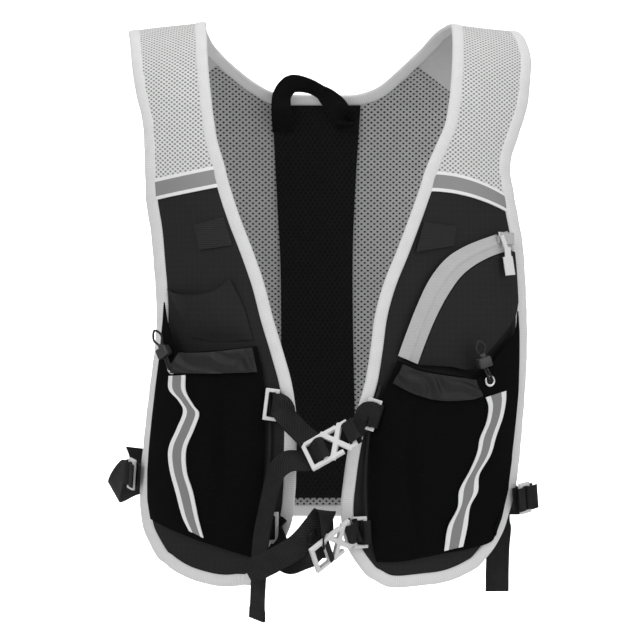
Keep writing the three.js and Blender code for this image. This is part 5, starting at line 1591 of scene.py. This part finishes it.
@dataclass
class Straps:
    """The sternum straps with their hanging tails, the side straps and the grab handle."""

    finishes: Finishes
    hardware: Hardware
    side_reach: float = 0.176
    back_wall: float = 0.003
    handle_stand: float = 0.013
    hem: float = 0.009

    def strap(self, node: str, stations: Sequence[Station], hem: float = 0.0,
            size: WebbingSize = WEBBING) -> None:
        """One strap."""
        made = ribbon(f"webbing_{node}", stations, size, hem)
        finish = self.finishes.handle if size is HANDLE_WEBBING else self.finishes.webbing
        hand_over(made, finish, "black_webbing", node)

    def upper(self) -> None:
        """The upper sternum strap and its tail."""
        parts = self.hardware
        buckle, rings = parts.upper_buckle, parts.rings
        self.strap("sternum_strap_upper_right", [
            *turn_round(rings["upper_right"], parts.ring_reach, -1, 0.004, parts.ring_bar),
            before_chest(-0.162, 0.624, 1.08, (0.44, 0.5, 0.7)),
            before_chest(-0.09, 0.648, 1.06, (0.42, 0.55, 0.7)),
            framed(buckle, -0.011, 0.006, -0.0064, 0, 1.5),
            framed(buckle, -0.010, 0, -0.008, 0, 1.5),
        ])
        self.strap("sternum_tail_upper_right", [
            *turn_round(buckle, parts.middle_bar, 1, 0.0015, parts.buckle_bar),
            framed(buckle, -0.0134, 0, 0), framed(buckle, -0.0166, 0, -0.003),
            framed(buckle, -0.022, 0, -0.004),
            before_chest(-0.156, 0.691, 1.12, (-0.3, 0.5, 0.75)),
            before_chest(-0.21, 0.7055, 1.13, (-0.5, 0.6, 0.45)),
            before_chest(-0.2267, 0.721, 1.13, (-0.6, 0.7, 0.25)),
            before_chest(-0.261, 0.7656, 1.12, (-0.6, 0.75, 0.1)),
            before_chest(-0.2877, 0.8118, 1.125, (-0.62, 0.75, 0.08)),
            before_chest(-0.2974, 0.858, 1.13, (-0.6, 0.78, 0.05)),
            before_chest(-0.3047, 0.904, 1.11, (-0.57, 0.8, 0)),
            before_chest(-0.3072, 0.9346, 1.09, (-0.6, 0.78, 0)),
        ], self.hem)
        self.strap("sternum_strap_upper_left", [
            *turn_round(rings["upper_left"], parts.ring_reach, 1, 0.008, parts.ring_bar),
            before_chest(0.185, 0.643, 1.11, (0.3, 0.3, 0.9)),
            *turn_round(buckle, parts.end_bar, -1, 0.006, parts.buckle_bar)[::-1],
        ])

    def lower(self) -> None:
        """The lower sternum strap and its tail."""
        parts = self.hardware
        buckle, rings = parts.lower_buckle, parts.rings
        self.strap("sternum_strap_lower_right", [
            framed(buckle, -0.010, 0, -0.006),
            framed(buckle, -0.021, -0.001, -0.006),
            before_chest(-0.0925, 0.84, 1.14, (0.1, -0.2, 0.95)),
            before_chest(-0.15, 0.846, 1.1, (0.3, -0.1, 0.9)),
            before_chest(-0.2, 0.833, 1.06, (0.7, 0, 0.7)),
            *woven_through(rings["lower_right"], parts.ring_reach, 1),
        ])
        self.strap("sternum_tail_lower_right", [
            *turn_round(buckle, parts.middle_bar, 1, 0.0015, parts.buckle_bar)[::-1][:6],
            framed(buckle, -0.0095, 0.008, -0.0085, 0.1),
            before_chest(0.031, 0.803, 1.16, (0.45, 0.89, 0.1)),
            before_chest(0.031, 0.777, 1.165, (0.5, 0.87, 0)),
            before_chest(0.028, 0.767, 1.155, (0.65, 0.7, -0.1)),
            before_chest(0.018, 0.771, 1.14, (0.75, 0.45, -0.5)),
            before_chest(-0.018, 0.787, 1.155, (0.6, 0.1, -0.79)),
            before_chest(-0.1034, 0.8175, 1.2, (0.5, 0, -0.86)),
            before_chest(-0.219, 0.8395, 1.23, (0.45, 0, -0.88)),
            before_chest(-0.2828, 0.85, 1.23, (0.42, 0, -0.9)),
            before_chest(-0.351, 0.8617, 1.22, (0.34, 0, -0.93)),
        ])
        self.strap("sternum_strap_lower_left", [
            *woven_through(rings["lower_left"], parts.ring_reach, -1)[::-1],
            *turn_round(buckle, parts.end_bar, -1, 0.005, parts.buckle_bar)[::-1],
        ])

    def side(self, half: Half, tail: Sequence[Station], fold: Station) -> None:
        """A side strap from its ring round to the back panel.

        Args:
            half: Which side.
            tail: The stations of its free end, up to the ring.
            fold: Where the strap reaches farthest sideways.
        """
        side = half.side
        ring = self.hardware.side_rings[half]
        upright = Vector((0, 0, 1))
        back = BODY.spot(side * 0.76, -0.93, self.back_wall + LAYERS.layer_gap + WEBBING.wall)
        behind = Vector((side * 0.93 * self.side_reach, 0.62 * back.y, back.z))
        self.strap(f"side_strap_{half.value}", [
            *tail,
            *turn_round(ring, side * self.hardware.ring_reach, -side, 0.007, self.hardware.ring_bar),
            fold,
            Station(behind, upright),
            Station(back + Vector((side * 0.008, -0.003, 0)), upright),
            Station(back, upright),
        ])
        loop = turn_round(ring, -side * self.hardware.ring_reach, side, 0.006, self.hardware.ring_bar)
        self.strap(f"side_tab_{half.value}", loop)

    def handle(self) -> None:
        """The grab handle, a twisted loop sewn inside the top of the back panel."""
        top = BODY.point(np.array([0.0]), np.array([BODY.run(-0.204)]))[0]

        def sewn(across: float, down: float) -> Station:
            """An end, flat inside the back panel."""
            place = np.array([across]), np.array([BODY.run(down)])
            return Station(Vector(BODY.above(*place, np.array([-0.0049]))[0]), Vector((1, 0, 0)))

        def loop(across: float, height: float, width: Sequence[float]) -> Station:
            """A station of the free loop."""
            return Station(Vector((across, top[1] - self.handle_stand, height)), Vector(width).normalized())

        self.strap("grab_handle", [
            sewn(-0.035, -0.27), loop(-0.0355, -0.062, (1, 0.2, 0)), loop(-0.0345, -0.05, (0.85, 0.4, -0.3)),
            loop(-0.0265, -0.0405, (0.3, 0.5, -0.8)), loop(-0.012, -0.0415, (-0.1, 0.75, -0.65)),
            loop(0.0005, -0.0475, (-0.4, 0.8, -0.45)), loop(0.008, -0.0535, (-0.6, 0.45, -0.66)),
            loop(0.017, -0.062, (-0.8, 0.2, -0.55)), sewn(0.024, -0.262),
        ], size=HANDLE_WEBBING)

    def build(self) -> None:
        """Makes every strap."""
        self.upper()
        self.lower()
        self.side(Half.RIGHT, [
            before_chest(-0.945, 0.68, 0.32, (0.7, 0.7, 0)),
            before_chest(-0.938, 0.692, 0.34, (0.5, 0.85, 0.1)),
            before_chest(-0.935, 0.708, 0.36, (0.2, 0.8, 0.5)),
        ], before_chest(-1.07, 0.7556, 0.04, (-0.5, 0.1, 0.86)))
        self.side(Half.LEFT, [
            before_chest(0.893, 0.905, 0.56, (1, 0.1, 0)),
            before_chest(0.895, 0.86, 0.56, (1, 0.15, 0)),
            before_chest(0.905, 0.82, 0.54, (1, 0.3, 0)),
            before_chest(0.93, 0.79, 0.5, (0.8, 0.5, 0.4)),
        ], before_chest(1.035, 0.767, 0.06, (0, 0.1, 1)))
        self.handle()


@dataclass
class ZipPocket:
    """The zipped pocket: a curved tape with its coil, the pocket inside it, the slider and its pull."""

    finishes: Finishes
    slider_place: tuple[float, float] = (0.895, 0.452)
    slider_length: float = 0.013
    slider_width: float = 0.010
    slider_height: float = 0.003
    pull_length: float = 0.032
    pull_width: float = 0.0095
    pull_wall: float = 0.0016
    seam_gap: float = 0.00035
    # outer across and down, inner across and down
    tape_rows: Table = (
        (0.378, 0.635, 0.47, 0.648), (0.413, 0.603, 0.5, 0.62), (0.46, 0.563, 0.54, 0.586),
        (0.512, 0.526, 0.585, 0.555), (0.565, 0.5, 0.63, 0.531), (0.622, 0.481, 0.675, 0.512),
        (0.685, 0.468, 0.73, 0.497), (0.752, 0.458, 0.8, 0.484), (0.837, 0.448, 0.87, 0.475),
        (0.915, 0.44, 0.935, 0.47))

    def level(self, across: Reals, run: Reals) -> Reals:
        """The height that tape and pocket start from."""
        return LAYERS.base + ZIP_POCKET.stand(across, run)

    def tape(self) -> None:
        """The pale tape with the coil along its middle."""
        count = 161
        outer = shares_line(tuple(row[:2] for row in self.tape_rows), 1, count)
        inner = shares_line(tuple(row[2:] for row in self.tape_rows), 1, count)
        net = Net(straight(outer[0], inner[0], 12), straight(outer[-1], inner[-1], 12), outer, inner)

        def height(across: Reals, run: Reals, u: Reals, v: Reals) -> Reals:
            """A flat tape with a rounded coil."""
            coil = 0.0007 * np.clip(1 - ((u - 0.5) / 0.11) ** 2, 0, 1) ** 0.5
            return self.level(across, run) + LAYERS.tape_wall + coil

        tape = cloth("coil_zip_tape", net, 40, 260, height, LAYERS.tape_wall)
        hand_over(tape, self.finishes.zip_tape, "pale_binding", "zip_tape")

    def pocket(self) -> None:
        """The pocket's wall inside the tape."""
        steps, corner = 14, 6
        gap = 2 * self.seam_gap
        inner = shares_line(tuple(row[2:] for row in self.tape_rows), 1, 8 * steps + 1)
        beside = inner + np.array([gap, gap])
        top_share = beside[-1, 1] / BODY.front_length
        side = OUTLINE.edge_line("leftOuterFront", LAYERS.pocket_inset, 0.552, top_share, 8 * corner + 1)
        side[-1] = beside[-1]
        start = beside[0]
        foot = shares_line(((start[0] / BODY.half_width, start[1] / BODY.front_length), (0.62, 0.652),
                (0.73, 0.655), (0.83, 0.622), (0.94, 0.578),
                (side[0, 0] / BODY.half_width, 0.552)),
                1, 8 * (steps - corner) + 1)
        net = Net(foot, beside[8 * corner:], beside[:8 * corner + 1], side)

        def height(across: Reals, run: Reals, u: Reals, v: Reals) -> Reals:
            """The wall's outer face with some slack."""
            rim = inside_rim(u, v, 0.12)
            slack = rim * crumple(across, run, 0.03, 0.0014, 1.4, 50.0)
            return self.level(across, run) + LAYERS.pocket_wall + slack

        wall = cloth("zip_pocket_cloth", net, 60, 50, height, LAYERS.pocket_wall)
        hand_over(wall, self.finishes.ripstop, "black_cloth", "zip_pocket")

    def slider(self) -> None:
        """The slider at the tape's top end, and its soft pull."""
        share, down = self.slider_place
        across, run = np.array([share * BODY.half_width]), np.array([BODY.run(down)])
        frame = Frame.on_cloth(share, down, float(self.level(across, run)[0]), 0)
        base = LAYERS.tape_wall + LAYERS.layer_gap
        quarter = self.slider_length / 4
        body = Frame(frame.at(0, 0, base + self.slider_height / 2), frame.a, frame.b, frame.c)
        block = moulded("coil_slider", body, (((-quarter, 0), (quarter, 0), self.slider_width),),
                self.slider_height, 0.0003)
        hand_over(block, self.finishes.metal, "bright_metal", "zip_slider")
        lift = base + self.slider_height + LAYERS.layer_gap + self.pull_wall / 2
        above = Frame.of(frame.at(-0.003, 0, lift + 0.001), (0.85, 0.5, 0.05), (-0.1, 0.1, 1))
        pull = moulded("soft_pull", above, (
            ((-0.003, 0), (0.0005, -0.4 * self.pull_length), 0.4 * self.pull_width),
            ((0.0005, -0.35 * self.pull_length), (0, -0.75 * self.pull_length), 0.62 * self.pull_width),
            ((0, -0.66 * self.pull_length), (0.0002, -0.86 * self.pull_length), self.pull_width),
        ), self.pull_wall, 0.0003)
        hand_over(pull, self.finishes.pale_plastic, "pale_plastic", "zip_pull")

    def build(self) -> None:
        """Makes the four pieces."""
        self.tape()
        self.pocket()
        self.slider()


# The studio

@dataclass
class Studio:
    """The camera, the soft lights and the pale paper behind and below."""

    finishes: Finishes
    camera_place: tuple[float, float, float] = (0.0, -2.110, -0.256)
    lens: float = 133.9
    sensor: float = 36.0

    def camera(self) -> None:
        """Puts the camera where the photograph was taken from."""
        data = bpy.data.cameras.new("camera")
        data.lens = self.lens
        data.sensor_width = self.sensor
        view = bpy.data.objects.new("camera", data)
        view.location = self.camera_place
        view.rotation_euler = (math.radians(90), 0, 0)
        bpy.context.collection.objects.link(view)
        bpy.context.scene.camera = view

    def lamp(self, name: str, place: tuple[float, float, float], size: float, power: float,
            target: Vector) -> None:
        """One soft square lamp that looks at a target."""
        data = bpy.data.lights.new(name, "AREA")
        data.shape = "SQUARE"
        data.size = size
        data.energy = power
        lamp = bpy.data.objects.new(name, data)
        lamp.location = place
        lamp.rotation_euler = (target - lamp.location).to_track_quat("-Z", "Y").to_euler()
        bpy.context.collection.objects.link(lamp)

    def paper(self) -> None:
        """A pale floor well below the vest that sweeps up behind it."""
        deselect_all()
        bpy.ops.mesh.primitive_grid_add(x_subdivisions=2, y_subdivisions=40, size=1)
        sweep = bpy.context.object
        sweep.name = "studio_floor"
        points = get_points(sweep)
        along = points[:, 1] + 0.5
        floor, wall, turn = -1.1, 6.0, 1.0
        width, length, near = 12, 13.0, 4.0
        run = along * length - near
        bend = np.clip((run - (wall - turn)) / (turn * math.pi / 2), 0, 1) * math.pi / 2
        y = np.where(run < wall - turn, run, wall - turn + turn * np.sin(bend))
        z = floor + turn * (1 - np.cos(bend)) + np.maximum(run - (wall - turn) - turn * math.pi / 2, 0)
        set_points(sweep, np.stack([points[:, 0] * width, y, z], axis=1))
        smooth_shading(sweep)
        sweep.data.materials.append(self.finishes.studio)

    def build(self) -> None:
        """Makes the studio."""
        self.camera()
        world = bpy.data.worlds.new("soft_room")
        world.use_nodes = True
        world.node_tree.nodes["Background"].inputs[0].default_value = (1, 1, 1, 1)
        world.node_tree.nodes["Background"].inputs[1].default_value = 0.5
        bpy.context.scene.world = world
        bpy.context.scene.view_settings.view_transform = "Standard"
        front, paper = Vector((0, 0, -0.25)), Vector((0, 6.0, -0.3))
        self.lamp("key", (-1.4, -2.2, 1.2), 1.6, 24, front)
        self.lamp("fill", (1.8, -1.8, 0.3), 1.6, 13, front)
        self.lamp("top", (0.0, -0.2, 1.8), 1.5, 14, front)
        for side in (-1, 1):
            self.lamp("paper_light", (side * 2.4, 4.3, 0.2), 1.2, 110, paper)
        self.paper()


def main() -> None:
    """Builds the vest piece by piece."""
    logging.basicConfig(level=logging.INFO, format="%(message)s")
    finishes = Finishes()
    Studio(finishes).build()
    for half in Half:
        FrontHalf(half, finishes).build()
    Back(finishes).build()
    Binding(finishes).build()
    Pockets(finishes).build()
    ZipPocket(finishes).build()
    hardware = Hardware(finishes)
    hardware.build()
    Straps(finishes, hardware).build()


if __name__ == "__main__":
    main()
